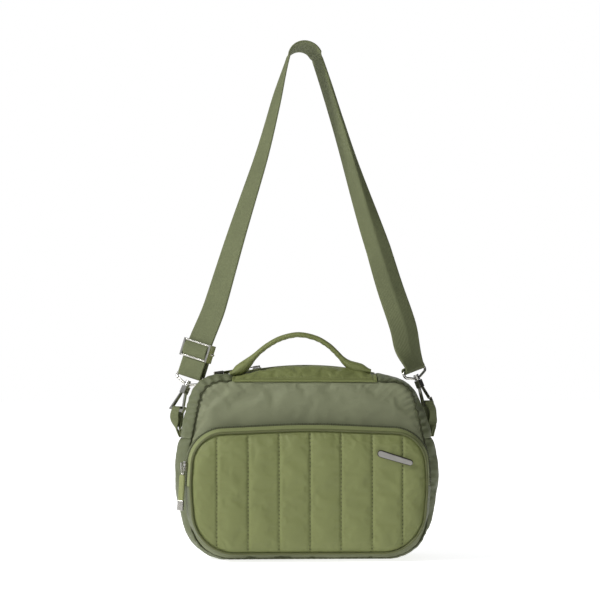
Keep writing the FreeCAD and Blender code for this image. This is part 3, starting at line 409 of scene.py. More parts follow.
class Nodes:
    """Short calls for a material's node tree."""

    def __init__(self, name):
        self.material = bpy.data.materials.new(name)
        self.material.use_nodes = True
        self.tree = self.material.node_tree
        self.shader = self.tree.nodes["Principled BSDF"]

    def add(self, kind, **values):
        item = self.tree.nodes.new(kind)
        for key, value in values.items():
            setattr(item, key, value)
        return item

    def link(self, source, target):
        self.tree.links.new(source, target)

    def noise(self, vector, scale, detail=3.0, rough=0.55):
        item = self.add("ShaderNodeTexNoise")
        item.inputs["Scale"].default_value = scale
        item.inputs["Detail"].default_value = detail
        item.inputs["Roughness"].default_value = rough
        self.link(vector, item.inputs["Vector"])
        return item.outputs["Fac"]

    def bands(self, vector, pitch, direction, distort=0.0):
        """Waves across a direction, with the given pitch in the vector's own units."""
        item = self.add("ShaderNodeTexWave", bands_direction=direction)
        item.inputs["Scale"].default_value = 2 * math.pi / 20 / pitch
        item.inputs["Distortion"].default_value = distort
        self.link(vector, item.inputs["Vector"])
        return item.outputs["Fac"]

    def maths(self, operation, first, second):
        item = self.add("ShaderNodeMath", operation=operation)
        for socket, value in zip(item.inputs, (first, second)):
            if isinstance(value, (int, float)):
                socket.default_value = value
            else:
                self.link(value, socket)
        return item.outputs[0]

    def spread(self, value, low, high):
        item = self.add("ShaderNodeMapRange")
        item.inputs["From Min"].default_value = low
        item.inputs["From Max"].default_value = high
        self.link(value, item.inputs["Value"])
        return item.outputs["Result"]

    def mixed_colour(self, factor, first, second):
        item = self.add("ShaderNodeMix", data_type="RGBA")
        sockets = [s for s in item.inputs if s.type == "RGBA"]
        self.link(factor, item.inputs[0])
        for socket, value in zip(sockets, (first, second)):
            if isinstance(value, tuple):
                socket.default_value = value
            else:
                self.link(value, socket)
        return [s for s in item.outputs if s.type == "RGBA"][0]

    def bump(self, height, distance, strength=1.0, before=None):
        item = self.add("ShaderNodeBump")
        item.inputs["Distance"].default_value = distance
        item.inputs["Strength"].default_value = strength
        self.link(height, item.inputs["Height"])
        if before is not None:
            self.link(before, item.inputs["Normal"])
        return item.outputs["Normal"]


def shade(colour, factor):
    return tuple(min(channel * factor, 1.0) for channel in colour[:3]) + (1.0,)


def cloth_material(name, colour, pitch=0.55, depth=0.00012, rough=0.72, sheen=0.25, contrast=0.12,
                   uv=True):
    """Woven nylon: two crossed sets of threads, an uneven dye and paler worn ridges."""
    tree = Nodes(name)
    place = tree.add("ShaderNodeTexCoord").outputs["Object"]
    if uv:
        thread_place = tree.add("ShaderNodeUVMap", uv_map="cloth").outputs["UV"]
        size = pitch
    else:
        thread_place, size = place, pitch * MM
    warp = tree.bands(thread_place, size, "X", 0.4)
    weft = tree.bands(thread_place, size, "Y", 0.4)
    weave = tree.maths("MULTIPLY", warp, weft)
    cloud = tree.noise(place, 22.0, 4.0)
    fleck = tree.noise(place, 900.0, 2.0)
    base = tree.mixed_colour(tree.spread(cloud, 0.3, 0.7), shade(colour, 1 - contrast),
                             shade(colour, 1 + contrast))
    thread = tree.mixed_colour(tree.spread(weave, 0.0, 1.0), base, shade(colour, 1.12))
    soft = tree.mixed_colour(tree.spread(fleck, 0.2, 0.8), base, thread)
    worn = tree.spread(tree.add("ShaderNodeNewGeometry").outputs["Pointiness"], 0.50, 0.62)
    final = tree.mixed_colour(tree.maths("MULTIPLY", worn, 0.5), soft, shade(colour, 1.35))
    tree.link(final, tree.shader.inputs["Base Color"])
    tree.link(tree.spread(fleck, -1.4 + rough, rough + 0.9), tree.shader.inputs["Roughness"])
    tree.shader.inputs["Roughness"].default_value = rough
    tree.shader.inputs["Sheen Weight"].default_value = sheen * 0.4
    tree.shader.inputs["Sheen Tint"].default_value = shade(colour, 2.0)
    tree.shader.inputs["Sheen Roughness"].default_value = 0.5
    tree.shader.inputs["Specular IOR Level"].default_value = 0.3
    ripple = tree.bump(tree.noise(place, 140.0, 3.0), 0.0004, 0.35)
    tree.link(tree.bump(weave, depth, 0.8, ripple), tree.shader.inputs["Normal"])
    return tree.material


def webbing_material(name, colour, pitch=1.5):
    """Heavy woven webbing: ribs across the band and fine threads along it."""
    tree = Nodes(name)
    place = tree.add("ShaderNodeTexCoord").outputs["Object"]
    thread_place = tree.add("ShaderNodeUVMap", uv_map="cloth").outputs["UV"]
    ribs = tree.bands(thread_place, pitch, "X", 0.6)
    rows = tree.bands(thread_place, pitch * 0.8, "Y", 0.6)
    weave = tree.maths("ADD", tree.maths("MULTIPLY", ribs, 0.6), tree.maths("MULTIPLY", rows, 0.4))
    cloud = tree.noise(place, 35.0, 4.0)
    base = tree.mixed_colour(tree.spread(cloud, 0.3, 0.7), shade(colour, 0.88), shade(colour, 1.12))
    final = tree.mixed_colour(tree.spread(weave, 0.1, 0.9), shade(colour, 0.8), base)
    worn = tree.spread(tree.add("ShaderNodeNewGeometry").outputs["Pointiness"], 0.52, 0.64)
    final = tree.mixed_colour(tree.maths("MULTIPLY", worn, 0.5), final, shade(colour, 1.4))
    tree.link(final, tree.shader.inputs["Base Color"])
    tree.link(tree.spread(weave, -1.6, 1.4), tree.shader.inputs["Roughness"])
    tree.shader.inputs["Sheen Weight"].default_value = 0.1
    tree.shader.inputs["Sheen Tint"].default_value = shade(colour, 2.0)
    tree.shader.inputs["Sheen Roughness"].default_value = 0.45
    tree.shader.inputs["Specular IOR Level"].default_value = 0.3
    fuzz = tree.bump(tree.noise(place, 1500.0, 2.0), 0.0001, 0.4)
    tree.link(tree.bump(weave, 0.0003, 0.8, fuzz), tree.shader.inputs["Normal"])
    return tree.material


def metal_material(name, colour, rough):
    """Plated metal: fine scratches, faint smears and brighter worn edges."""
    tree = Nodes(name)
    place = tree.add("ShaderNodeTexCoord").outputs["Object"]
    smear = tree.noise(place, 160.0, 3.0)
    scratch = tree.noise(place, 2600.0, 2.0, 0.7)
    base = tree.mixed_colour(tree.spread(smear, 0.3, 0.7), shade(colour, 0.9), shade(colour, 1.08))
    worn = tree.spread(tree.add("ShaderNodeNewGeometry").outputs["Pointiness"], 0.52, 0.7)
    final = tree.mixed_colour(tree.maths("MULTIPLY", worn, 0.6), base, shade(colour, 1.5))
    tree.link(final, tree.shader.inputs["Base Color"])
    tree.shader.inputs["Metallic"].default_value = 1.0
    grain = tree.maths("ADD", tree.maths("MULTIPLY", smear, 0.18), tree.maths("MULTIPLY", scratch, 0.1))
    tree.link(tree.maths("ADD", grain, rough - 0.14), tree.shader.inputs["Roughness"])
    tree.link(tree.bump(scratch, 0.00002, 0.4), tree.shader.inputs["Normal"])
    return tree.material


def plain_material(name, colour, grain=600.0, rough=0.8):
    """Hidden parts, moulded or cut: a mottled colour with a fine grain."""
    tree = Nodes(name)
    place = tree.add("ShaderNodeTexCoord").outputs["Object"]
    cloud = tree.noise(place, 60.0, 4.0)
    fine = tree.noise(place, grain, 2.0)
    base = tree.mixed_colour(tree.spread(cloud, 0.3, 0.7), shade(colour, 0.85), shade(colour, 1.12))
    tree.link(base, tree.shader.inputs["Base Color"])
    tree.link(tree.spread(fine, -1.5, 1.1), tree.shader.inputs["Roughness"])
    tree.shader.inputs["Roughness"].default_value = rough
    tree.link(tree.bump(fine, 0.0002, 0.6), tree.shader.inputs["Normal"])
    return tree.material


QUILTED = cloth_material("quilted_nylon", srgb(112, 118, 72), contrast=0.05)
NYLON = cloth_material("grey_green_nylon", srgb(114, 118, 91), rough=0.62, sheen=0.2, contrast=0.1)
TOP_CLOTH = cloth_material("top_nylon", srgb(106, 112, 66), contrast=0.1)
SIDE_CLOTH = cloth_material("side_nylon", srgb(88, 93, 66), contrast=0.1)
STRIP_CLOTH = cloth_material("pocket_strip_nylon", srgb(122, 128, 86), contrast=0.08)
PIPING_CLOTH = cloth_material("piping_cloth", srgb(82, 86, 52), pitch=0.8, contrast=0.15)
PULLER_CLOTH = cloth_material("puller_cloth", srgb(128, 133, 86), pitch=0.7)
WEBBING = webbing_material("strap_webbing_cloth", srgb(94, 99, 68))
TAB_WEBBING = webbing_material("tab_webbing_cloth", srgb(96, 101, 68))
# Painted shadow: near-black cloth for the tube that stands for the shade down in the bag's seams.
SEAM_SHADOW = cloth_material("seam_painted_shadow_cloth", srgb(52, 55, 32), pitch=0.8)
THREAD = plain_material("sewing_thread", srgb(70, 73, 42), 2500.0)
LIGHT_THREAD = plain_material("light_thread", srgb(112, 117, 74), 2500.0)
ZIP_TAPE = cloth_material("zip_tape_cloth", srgb(66, 70, 46), pitch=0.5)
ZIP_COIL = plain_material("zip_coil_nylon", srgb(74, 78, 52), 1500.0)
STEEL = metal_material("polished_plate", srgb(196, 194, 186), 0.2)
GUNMETAL = metal_material("gunmetal_plate", srgb(150, 148, 142), 0.26)
BADGE_METAL = metal_material("badge_satin", srgb(150, 148, 143), 0.42)
BADGE_RIM = metal_material("badge_rim_dark", srgb(60, 58, 55), 0.4)
LINING_CLOTH = cloth_material("lining_cloth", srgb(146, 146, 132), uv=False)
INNER_CLOTH = cloth_material("inner_cloth", srgb(108, 113, 84), uv=False)


def finish_piece(piece, body, slot_name, *nodes):
    """The piece rides on its body and stands for its CAD nodes."""
    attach(piece, body)
    if nodes:
        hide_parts(*nodes)


# ------------------------------------------------------------------ main compartment

def bag_share(y):
    """How far the compartment's side has swelled from its seam outline to its widest."""
    return 1 - abs((y - MID_Y) / 32) ** 2.8


def corner_weight(x, z):
    """1 at the bag's upper corners, where the seam is gathered, falling to 0 elsewhere."""
    return np.exp(-((np.abs(x) - 98) / 26) ** 2 - ((z - 158) / 26) ** 2)


def puckers(x, z):
    """Waves along the front seam, about 6.5 mm apart, strongest round the upper corners."""
    angle = np.arctan2(z - 100, x)
    wave = np.cos(angle * 112 + 1.6 * np.sin(angle * 9) + 0.9 * np.sin(angle * 23))
    return wave * (0.2 + 0.8 * corner_weight(x, z))


def seam_swell(x, z, y=FRONT_Y):
    """How far the padded front seam stands out past its plain outline, fading towards the back."""
    corner = np.exp(-((np.abs(x) - 100) / 24) ** 2 - ((z - 160) / 26) ** 2)
    lower = np.exp(-((x - 104) / 20) ** 2 - ((z - 34) / 26) ** 2)
    crown = ramp(z, 150, 172) * (1.2 + 1.6 * np.exp(-(x / 60) ** 2))
    swell = corner * np.where(x < 0, 4.4, 2.6) + lower * 3.0 + crown
    return swell * np.exp(-((y - FRONT_Y) / 15) ** 2)


def compartment_outline(y, inset=0.0):
    """The compartment's outline at a depth, with the front seam's swell."""
    line = outline(mixed(SEAM, MIDDLE, bag_share(y)), inset)
    tangent = np.gradient(line, axis=0)
    size = np.linalg.norm(tangent, axis=1, keepdims=True)
    normal = np.stack([tangent[:, 1], -tangent[:, 0]], axis=1) / np.maximum(size, 1e-9)
    return line + normal * seam_swell(line[:, 0], line[:, 1], y)[:, None]


def gusset_grid(depths, level, above, count, push=None):
    rows = []
    for y in depths:
        line = evenly(cut_at(compartment_outline(y), level, above), count)
        rows.append(np.stack([line[:, 0], np.full(count, y), line[:, 1]], axis=1))
    grid = np.array(rows)
    normal = normals_of(grid)
    if (normal[len(rows) // 2, count // 2] * (grid[len(rows) // 2, count // 2] - (0, 10, 95))).sum() < 0:
        grid = grid[:, ::-1]
        normal = normals_of(grid)
    if push is not None:
        grid = grid + normal * push(grid)[..., None]
    return grid


def seam_dip(distance, depth=1.3, width=2.2):
    """The cloth turns in where it is sewn."""
    return -depth * np.exp(-np.abs(distance) / width)


def gusset_push(grid):
    x, y, z = grid[..., 0], grid[..., 1], grid[..., 2]
    front = np.exp(-(y - FRONT_Y) / 7)
    push = puckers(x, z) * 1.9 * front * (1 - np.exp(-(y - FRONT_Y) / 1.5))
    push += seam_dip(y - FRONT_Y, 2.4, 1.7) + seam_dip(BACK_Y - y, 2.0, 1.7)
    puff = np.where(x < 0, 5.5, -5.0) * corner_weight(x, z)
    push += (puff + 1.2) * np.exp(-((y + 11) / 9) ** 2)
    push += seam_dip(z - SIDE_SEAM_Z, 0.9, 1.6) * (np.abs(x) > 60)
    push += np.where(x < 0, 1.7, 1.2) * np.exp(-((z - 140) / 14) ** 2)
    covered = patch_cover(x, y, z)
    push += crumple(grid, 26, 3) * 1.1 * np.clip(z / 30, 0, 1) * (1 - covered)
    return push - 2.6 * covered


def patch_cover(x, y, z):
    """1 where the top patch lies over the gusset, falling to 0 round it."""
    return ramp(x, -78, -72) * (1 - ramp(x, 66, 72)) * (1 - ramp(y, 14, 19)) * ramp(z, 150, 165)


def under_patch(grid):
    return patch_cover(grid[..., 0], grid[..., 1], grid[..., 2]) > 0.6


def held_edges(grid, extra=None):
    held = np.zeros(grid.shape[:2], bool)
    held[:2] = held[-2:] = True
    held[:, :2] = held[:, -2:] = True
    if extra is not None:
        held |= extra
    return held


def flatten_base(grid):
    """The compartment's underside rests on the ground."""
    grid = grid.copy()
    grid[..., 2] = np.maximum(grid[..., 2], 0.05)
    return grid


def main_compartment():
    low = gusset_grid(np.linspace(FRONT_Y, BACK_Y, 49), SIDE_SEAM_Z, False, 301, gusset_push)
    low = settle(low, held_edges(low, low[..., 2] < 2.5), 0.02, 0.6, 1.2)
    piece = sheet_piece("lower_gusset_cloth", flatten_base(low), 1.2, SIDE_CLOTH)
    finish_piece(piece, "bag", "nylon", "bottom_gusset")

    high = gusset_grid(np.linspace(FRONT_Y, 24, 37), SIDE_SEAM_Z, True, 241, gusset_push)
    high = settle(high, held_edges(high, under_patch(high)), 0.03, 0.6, 2.2)
    piece = sheet_piece("upper_gusset_front_cloth", high, 1.2, SIDE_CLOTH)
    finish_piece(piece, "bag", "nylon", "top_gusset_front")

    rear = gusset_grid(np.linspace(32, BACK_Y, 10), SIDE_SEAM_Z, True, 241, gusset_push)
    piece = sheet_piece("upper_gusset_rear_cloth", rear, 1.2, SIDE_CLOTH)
    finish_piece(piece, "bag", "nylon", "top_gusset_rear")

    tape = gusset_grid(np.linspace(23.6, 32.4, 8), SIDE_SEAM_Z, True, 241)
    inner = normals_of(tape)
    piece = sheet_piece("main_zip_tape_cloth", tape - inner * 0.35, 0.7, ZIP_TAPE)
    finish_piece(piece, "bag", "zip", "main_zip_tape")
    row = gusset_grid(np.array([26, 28, 30]), SIDE_SEAM_Z, True, 401)
    finish_piece(coil_piece("main_zip_coil", row[1], normals_of(row)[1]), "bag", "zip", "main_zip_chain")

    face_piece("front_face_cloth", FRONT_Y, -1, "front_panel", 1)
    face_piece("back_face_cloth", BACK_Y, 1, "back_panel", 2)


def face_piece(name, y, sign, node, seed):
    """One face of the compartment: crowned, gathered at its seam, with slack folds."""
    edge = compartment_outline(y)
    flat = patch(edge, 121, 163)
    x, z = flat[..., 0], flat[..., 1]
    away = edge_distance(edge, x, z)
    hidden = ramp(x, -84, -74) * (1 - ramp(x, 68, 78)) * ramp(z, 150, 165)
    rise = 3.2 * (1 - np.exp(-away / 9)) - 2.6 * np.exp(-away / 1.7) * (1 - 0.85 * hidden)
    rise += puckers(x, z) * 1.3 * np.exp(-away / 6) * (1 - np.exp(-away / 1.5))
    grid = np.stack([x, y + sign * rise, z], axis=2)
    rise = crumple(grid, 34, seed) * 1.3 * (1 - np.exp(-away / 8))
    grid[..., 1] += sign * rise
    if sign > 0:
        grid = grid[:, ::-1]
    grid = settle(grid, held_edges(grid), 0.02, 0.4, 2.5)
    piece = sheet_piece(name, grid, 1.0, NYLON)
    finish_piece(piece, "bag", "nylon", node)


def painted_seam_shadow():
    """Painted shadow: a dark line down in the front and back seams, a cloth tube that waves with the
    gathered puckers and stands for the shade in the seam's groove.
    """
    for name, y, sign in (("front_seam_painted_shadow", FRONT_Y, -1), ("back_seam_painted_shadow", BACK_Y, 1)):
        loop = evenly(compartment_outline(y, -0.2), 901)[:-1]
        wave = puckers(loop[:, 0], loop[:, 1])
        centre = np.array([0, 92.0])
        away = loop - centre
        away /= np.linalg.norm(away, axis=1, keepdims=True)
        rim = 1 - ramp(loop[:, 1], 4, 16)
        loop = loop + away * (wave * 0.8 * (1 - rim) - 1.0 * rim)[:, None]
        hidden = ramp(loop[:, 0], -82, -70) * (1 - ramp(loop[:, 0], 64, 76)) * (loop[:, 1] > 150)
        path = np.stack([loop[:, 0], y - sign * (0.6 + 1.6 * hidden) + wave * 0.5, loop[:, 1]], axis=1)
        thick = (0.75 + 0.4 * wave) * (1 - 0.6 * np.maximum(hidden, rim))
        piece = tube_piece(name, path, (0, 1, 0), thick, thick, SEAM_SHADOW, 10, closed=True)
        finish_piece(piece, "bag", "nylon")


def coil_piece(name, line, outward, wide=4.0, thick=1.3, pitch=1.8):
    """A zip's coil: one rounded tooth to a pitch, from alternate sides, across the line."""
    along = lengths(line)
    count = int(along[-1] / pitch)
    points, faces = [], []
    profile = [(-0.5, 0.5, 0.15), (-0.42, 0.9, 0.35), (0.1, 1.0, 0.6), (0.38, 1.0, 0.55), (0.5, 0.5, 0.3)]
    for k in range(count):
        place = (k + 0.5) * pitch
        spot = np.array([np.interp(place, along, line[:, i]) for i in range(3)])
        up = np.array([np.interp(place, along, outward[:, i]) for i in range(3)])
        ahead = np.array([np.interp(place + 0.5, along, line[:, i]) for i in range(3)]) - spot
        ahead /= max(np.linalg.norm(ahead), 1e-9)
        up -= ahead * up.dot(ahead)
        up /= np.linalg.norm(up)
        side = np.cross(ahead, up) * (1 if k % 2 else -1)
        add_capsule(points, faces, spot, side * wide, (ahead * pitch * 0.42, up * thick * 0.4),
                    up * thick, profile)
    return mesh_piece(name, np.array(points), faces, ZIP_COIL)


def top_panel():
    """The contrasting patch over the crown, folded under along its edges and topstitched."""
    depths = np.linspace(FRONT_Y, 16, 46)
    rows = []
    for y in depths:
        line = compartment_outline(y)
        top = line[(line[:, 1] > 140) & (np.abs(line[:, 0]) < 95)]
        top = top[np.argsort(top[:, 0])]
        x = np.linspace(-75, 69, 181)
        rows.append(np.stack([x, np.full(181, y), np.interp(x, top[:, 0], top[:, 1])], axis=1))
    grid = np.array(rows)
    x, y = grid[..., 0], grid[..., 1]
    away = np.minimum.reduce([x + 75, 69 - x, y - FRONT_Y + 1.5, 16 - y])
    push = 0.3 + 0.5 * np.exp(-away / 1.6) - 0.6 * np.exp(-((away - 3.2) / 0.9) ** 2)
    push -= 1.0 * ramp(y, -14, 4) * (1 - ramp(y, 8, 15))
    push += crumple(grid, 24, 5) * 0.7 * np.clip(away / 8, 0, 1)
    grid = grid + normals_of(grid) * push[..., None]
    grid = settle(grid, held_edges(grid, away < 4.5), 0.02, 0.5, 1.0)
    piece = sheet_piece("top_panel_cloth", grid, 0.9, TOP_CLOTH)
    finish_piece(piece, "bag", "nylon", "top_panel")
    normal = normals_of(grid)
    runs = []
    row = int(round(3.2 / 38 * 45))
    column = int(round(3.2 / 144 * 180))
    for cut in ((row, slice(column, -column)), (-row, slice(column, -column)),
                (slice(row, -row), column), (slice(row, -row), -column)):
        runs.append((grid[cut], normal[cut]))
    finish_piece(stitches("top_panel_stitches", runs, LIGHT_THREAD, 3.2, 2.2, 0.28), "bag", "nylon")
    edge = grid[0] + normal[0] * 0.2
    fold = tube_piece("top_panel_folded_edge", edge[2:-2], (0, 1, 0), 1.3, 1.0, TOP_CLOTH, 12)
    finish_piece(fold, "bag", "nylon")


# ------------------------------------------------------------------ front pocket

def pocket_share(y):
    return 1 - np.clip((POCKET_BASE_Y - y) / 21.7, 0, 1) ** 1.5


def pocket_grid(depths, level, above, count, seed):
    rows = []
    for y in depths:
        points = outline(mixed(FACE, BASE, pocket_share(y)))
        line = evenly(cut_at(points, level, above), count)
        rows.append(np.stack([line[:, 0], np.full(count, y), line[:, 1]], axis=1))
    grid = np.array(rows)
    normal = normals_of(grid)
    middle = grid[len(rows) // 2, count // 2]
    if (normal[len(rows) // 2, count // 2] * (middle - (0, -33, 70))).sum() < 0:
        grid = grid[:, ::-1]
    wave = crumple(grid, 18, seed) * 0.5
    edges = np.minimum(np.arange(len(rows)), np.arange(len(rows))[::-1])[:, None]
    wave = wave * np.clip(edges / 2, 0, 1)
    return grid + normals_of(grid) * wave[..., None]


def face_height(x, z, away):
    """How far the quilted face stands in front of its seam."""
    rise = 5.4 * (1 - np.exp(-away / 5.5))
    near = np.min([np.abs(x - line) for line in QUILT_LINES], axis=0)
    edge = np.clip(away / 5, 0, 1)
    rise -= (1.5 * np.exp(-near / 5.5) + 0.9 * np.exp(-(near / 1.1) ** 2)) * edge
    dimple = 0.3 * np.cos(z * 2 * math.pi / 4.0) * np.exp(-near / 2.5) * edge
    return rise + 0.9 - 0.9 * np.exp(-away / 10) + dimple


def front_pocket():
    edge = outline(FACE)
    flat = patch(edge, 127, 241)
    x, z = flat[..., 0], flat[..., 1]
    away = edge_distance(edge, x, z)
    grid = np.stack([x, FACE_Y - face_height(x, z, away), z], axis=2)
    near = np.min([np.abs(x - line) for line in QUILT_LINES], axis=0)
    grid[..., 1] -= crumple(grid, 20, 8) * 0.25 * np.clip(away / 8, 0, 1) * np.clip(near / 5, 0.2, 1)
    grid = settle(grid, held_edges(grid, (near < 1.6) | (away < 2)), 0.012, 0.7, 0.6)
    back = np.stack([x, np.full(x.shape, FACE_Y + 0.1), z], axis=2)
    piece = sheet_piece("pocket_quilted_face", grid, 1.0, QUILTED, inner=back)
    finish_piece(piece, "bag", "padded_cloth", "pocket_panel")

    runs = []
    for line in QUILT_LINES:
        heights = np.linspace(3, 130, 300)
        xs = np.full(300, line)
        inside = edge_distance(edge, xs, heights)
        loop = evenly(edge, 400)
        top = np.interp(line, *zip(*sorted(map(tuple, loop[loop[:, 1] > 95]))))
        low = np.interp(line, *zip(*sorted(map(tuple, loop[loop[:, 1] < 45]))))
        keep = (heights > low + 1.5) & (heights < top - 1.5)
        ys = FACE_Y - face_height(xs, heights, inside) - 0.15
        points = np.stack([xs, ys, heights], axis=1)[keep]
        runs.append((points, np.tile([0.0, -1.0, 0.0], (len(points), 1))))
    finish_piece(stitches("quilting_stitches", runs, THREAD, 4.0, 2.0, 0.5), "bag", "padded_cloth")

    front = pocket_grid(np.linspace(FACE_Y + 0.2, -31.4, 11), ZIP_END_Z, True, 261, 11)
    finish_piece(sheet_piece("pocket_strip_front_cloth", front, 1.0, STRIP_CLOTH), "bag", "nylon",
                 "pocket_strip_front")
    rear = pocket_grid(np.linspace(-28.6, POCKET_BASE_Y + 0.6, 7), ZIP_END_Z, True, 261, 12)
    finish_piece(sheet_piece("pocket_strip_rear_cloth", rear, 1.0, SIDE_CLOTH), "bag", "nylon",
                 "pocket_strip_rear")
    low = pocket_grid(np.linspace(FACE_Y + 0.2, POCKET_BASE_Y + 0.6, 14), ZIP_END_Z, False, 261, 13)
    finish_piece(sheet_piece("pocket_gusset_lower_cloth", flatten_base(low), 1.0, SIDE_CLOTH), "bag",
                 "nylon", "pocket_gusset_lower")
    tape = pocket_grid(np.linspace(-33.4, -26.6, 8), ZIP_END_Z, True, 261, 14)
    tape = tape - normals_of(tape) * 0.5
    piece = sheet_piece("pocket_zip_tape_cloth", tape, 0.6, ZIP_TAPE)
    finish_piece(piece, "bag", "zip", "pocket_zip_chain")
    row = pocket_grid(np.array([-32, -30, -28.0]), ZIP_END_Z, True, 401, 14)
    coil = coil_piece("pocket_zip_coil", row[1] - normals_of(row)[1] * 0.3, normals_of(row)[1])
    finish_piece(coil, "bag", "zip")

    loop = evenly(outline(FACE, -1.0), 641)[:-1]
    ripple = np.cos(np.arange(640) * 2 * math.pi / 16) * 0.12
    path = np.stack([loop[:, 0], -45.2 + ripple, loop[:, 1]], axis=1)
    piece = tube_piece("pocket_piping_cord", path, (0, 1, 0), 1.35, 1.35, PIPING_CLOTH, 14, closed=True)
    finish_piece(piece, "bag", "piping", "pocket_piping")


# ------------------------------------------------------------------ handle and tabs

def handle():
    """One tube of cloth: padded over the arch, flattened and sewn down at both ends."""
    spots = [(-77, 183.6), (-70.5, 186.2), (-63.5, 191.0), (-56.5, 197.4), (-48.5, 205.0), (-38.5, 212.8),
             (-25, 219.8), (-8, 223.2), (9, 219.8), (21.5, 212.8), (30, 205.0), (36.5, 198.2),
             (43, 193.0), (52, 189.4), (64, 186.4)]
    line = smooth_path(spots, 200)
    path = np.stack([line[:, 0], np.full(200, 2.0), line[:, 1]], axis=1)
    along = lengths(path)
    end = np.minimum(along, along[-1] - along)
    wide = 9.0 - 2.8 * ramp(end, 12, 36)
    thick = 2.4 + 3.2 * ramp(end, 0, 11) - 2.9 * ramp(end, 13, 36)

    def shape(w, t, angle, length):
        groove = np.exp(-((np.cos(angle) + 0.15) / 0.16) ** 2) * (np.sin(angle) < 0)
        pinch = np.exp(-((np.cos(angle) - 0.5) / 0.2) ** 2) * 0.5
        soft = ramp(np.minimum(length, length[-1] - length), 6, 26)[:, None]
        inner = (np.sin(angle) > 0) * np.abs(np.sin(angle))
        ripple = np.sin(length * 2 * math.pi / 7.5 + 2 * np.sin(length / 9))[:, None] * inner * 0.15
        t = t * (1 - soft * (groove + pinch * 0.4)[None, :] * 0.22) + ripple * soft
        return w * (1 + 0.03 * np.sin(length / 4.1)[:, None] * soft), t

    piece = tube_piece("handle_tube", path, (0, 1, 0), wide, thick, TOP_CLOTH, 36, 2.3, shape=shape)
    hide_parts("handle", "handle_ends")
    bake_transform(piece)
    runs = []
    for low, high in ((0, 22), (177, 199)):
        out = np.tile([0.0, 0.0, 1.0], (high - low, 1))
        for y in (-4.8, 8.8):
            line = path[low:high].copy()
            line[:, 1] = y
            line[:, 2] += thick[low:high] * 0.86
            runs.append((line, out))
    finish_piece(stitches("handle_end_stitches", runs, LIGHT_THREAD, 2.8, 1.9, 0.26), "bag", "nylon")


def side_tab(side, outward):
    """A loop of webbing, twisted from the side seam up to the hook, folded over the hook's bar."""
    axes = {joint["name"]: np.array(joint["axis"]) for joint in frame["joints"]}
    bar = np.cross(axes[f"{side}_gate_hinge"], axes[f"{side}_swivel"])
    bar = bar * np.sign(bar[0])
    facing = bar + np.array([0.55, 0.15 * outward, 0])
    facing[2] = 0
    facing /= np.linalg.norm(facing)
    low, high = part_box(f"{side}_tab")
    centre = np.array([(low.x + high.x) / 2, (low.y + high.y) / 2, high.z]) / MM - (0, 0, 5.2)
    root = np.array([125.3 * outward, 10.0, 120.5])
    rise = centre[2] - root[2]
    top = 1 + 3.3 / rise
    line = smooth_path([(1.2, 0.0), (1.5, 0.25), (2.9, 0.6), (3.9, 0.86), (2.6, top - 0.05), (0, top),
                        (-2.6, top - 0.05), (-3.5, 0.84), (-2.6, 0.6), (-1.3, 0.25), (-0.8, 0.0)], 110)
    rows = []
    for offset in np.linspace(-1, 1, 15):
        share = np.clip(line[:, 1], 0, 1)[:, None]
        turn = ramp(share, 0.0, 0.75)
        wide = facing * turn + np.array([0.35 * outward, -0.9, 0]) * (1 - turn)
        wide /= np.linalg.norm(wide, axis=1, keepdims=True)
        out = np.cross(wide, (0, 0, 1))
        half = 3.4 + 1.7 * turn
        middle = root * (1 - share) + centre * share
        middle = middle + np.array([outward, 0, 0]) * (2.6 * np.sin(share * math.pi) - 0.8 * share)
        middle[:, 2] = root[2] + line[:, 1] * rise
        curl = 0.7 * offset ** 2 + 0.35 * np.sin(line[:, 1:] * 9 + offset * 2.5)
        rows.append(middle + out * (line[:, :1] - curl) + wide * half * offset)
    grid = np.array(rows)
    piece = sheet_piece(f"{side}_tab_webbing", grid, 1.5, TAB_WEBBING, centred=True)
    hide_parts(f"{side}_tab")
    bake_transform(piece)


def tabs():
    side_tab("left", -1)
    side_tab("right", 1)


# ------------------------------------------------------------------ strap

APEX = np.array([-4.0, 10.0, 498.0])
APEX_RADIUS = 15.0
HALF_WIDE = 15.0
LAYER_GAP = 2.7


class Run:
    """One side of the strap: straight from its ring to the apex's arc."""

    def __init__(self, base, outward, turn):
        self.base = np.array(base, float)
        self.turn = turn
        reach = APEX - self.base
        size = np.linalg.norm(reach)
        self.angle = math.atan2(reach[2], reach[0]) + outward * math.asin(APEX_RADIUS / size)
        self.along = np.array([math.cos(self.angle), 0, math.sin(self.angle)])
        self.across = np.array([math.sin(self.angle), 0, -math.cos(self.angle)])
        self.long = math.sqrt(size ** 2 - APEX_RADIUS ** 2)

    def width(self, turn):
        angle = math.radians(turn)
        return self.across * math.cos(angle) + np.array([0, 1, 0]) * math.sin(angle)

    def ring_frame(self):
        """The webbing's width, its back and its run, at the ring."""
        wide = self.width(self.turn)
        return wide, np.cross(self.along, wide), self.along


LEFT = Run((-117, 10, 183.5), 1, -40)
RIGHT = Run((110, 10, 189.5), -1, 45)


def band_row(centre, left_half, right_half, count=17):
    """Points across the webbing, from its left edge over its middle to its right edge."""
    shares = np.linspace(-1, 1, count)
    return np.array([centre + (left_half if s < 0 else right_half) * abs(s) * HALF_WIDE for s in shares])


def left_side_turn(distance):
    """How far the strap's left side is turned about its own length, in degrees: steady as far as
    the buckle, then growing evenly, and nearly edge-on at the apex."""
    steady, growth, last = 40.0, 0.142, 6.0
    return steady + growth * max(distance - 40.0, 0.0) + last * float(ramp(distance, 285, 334))


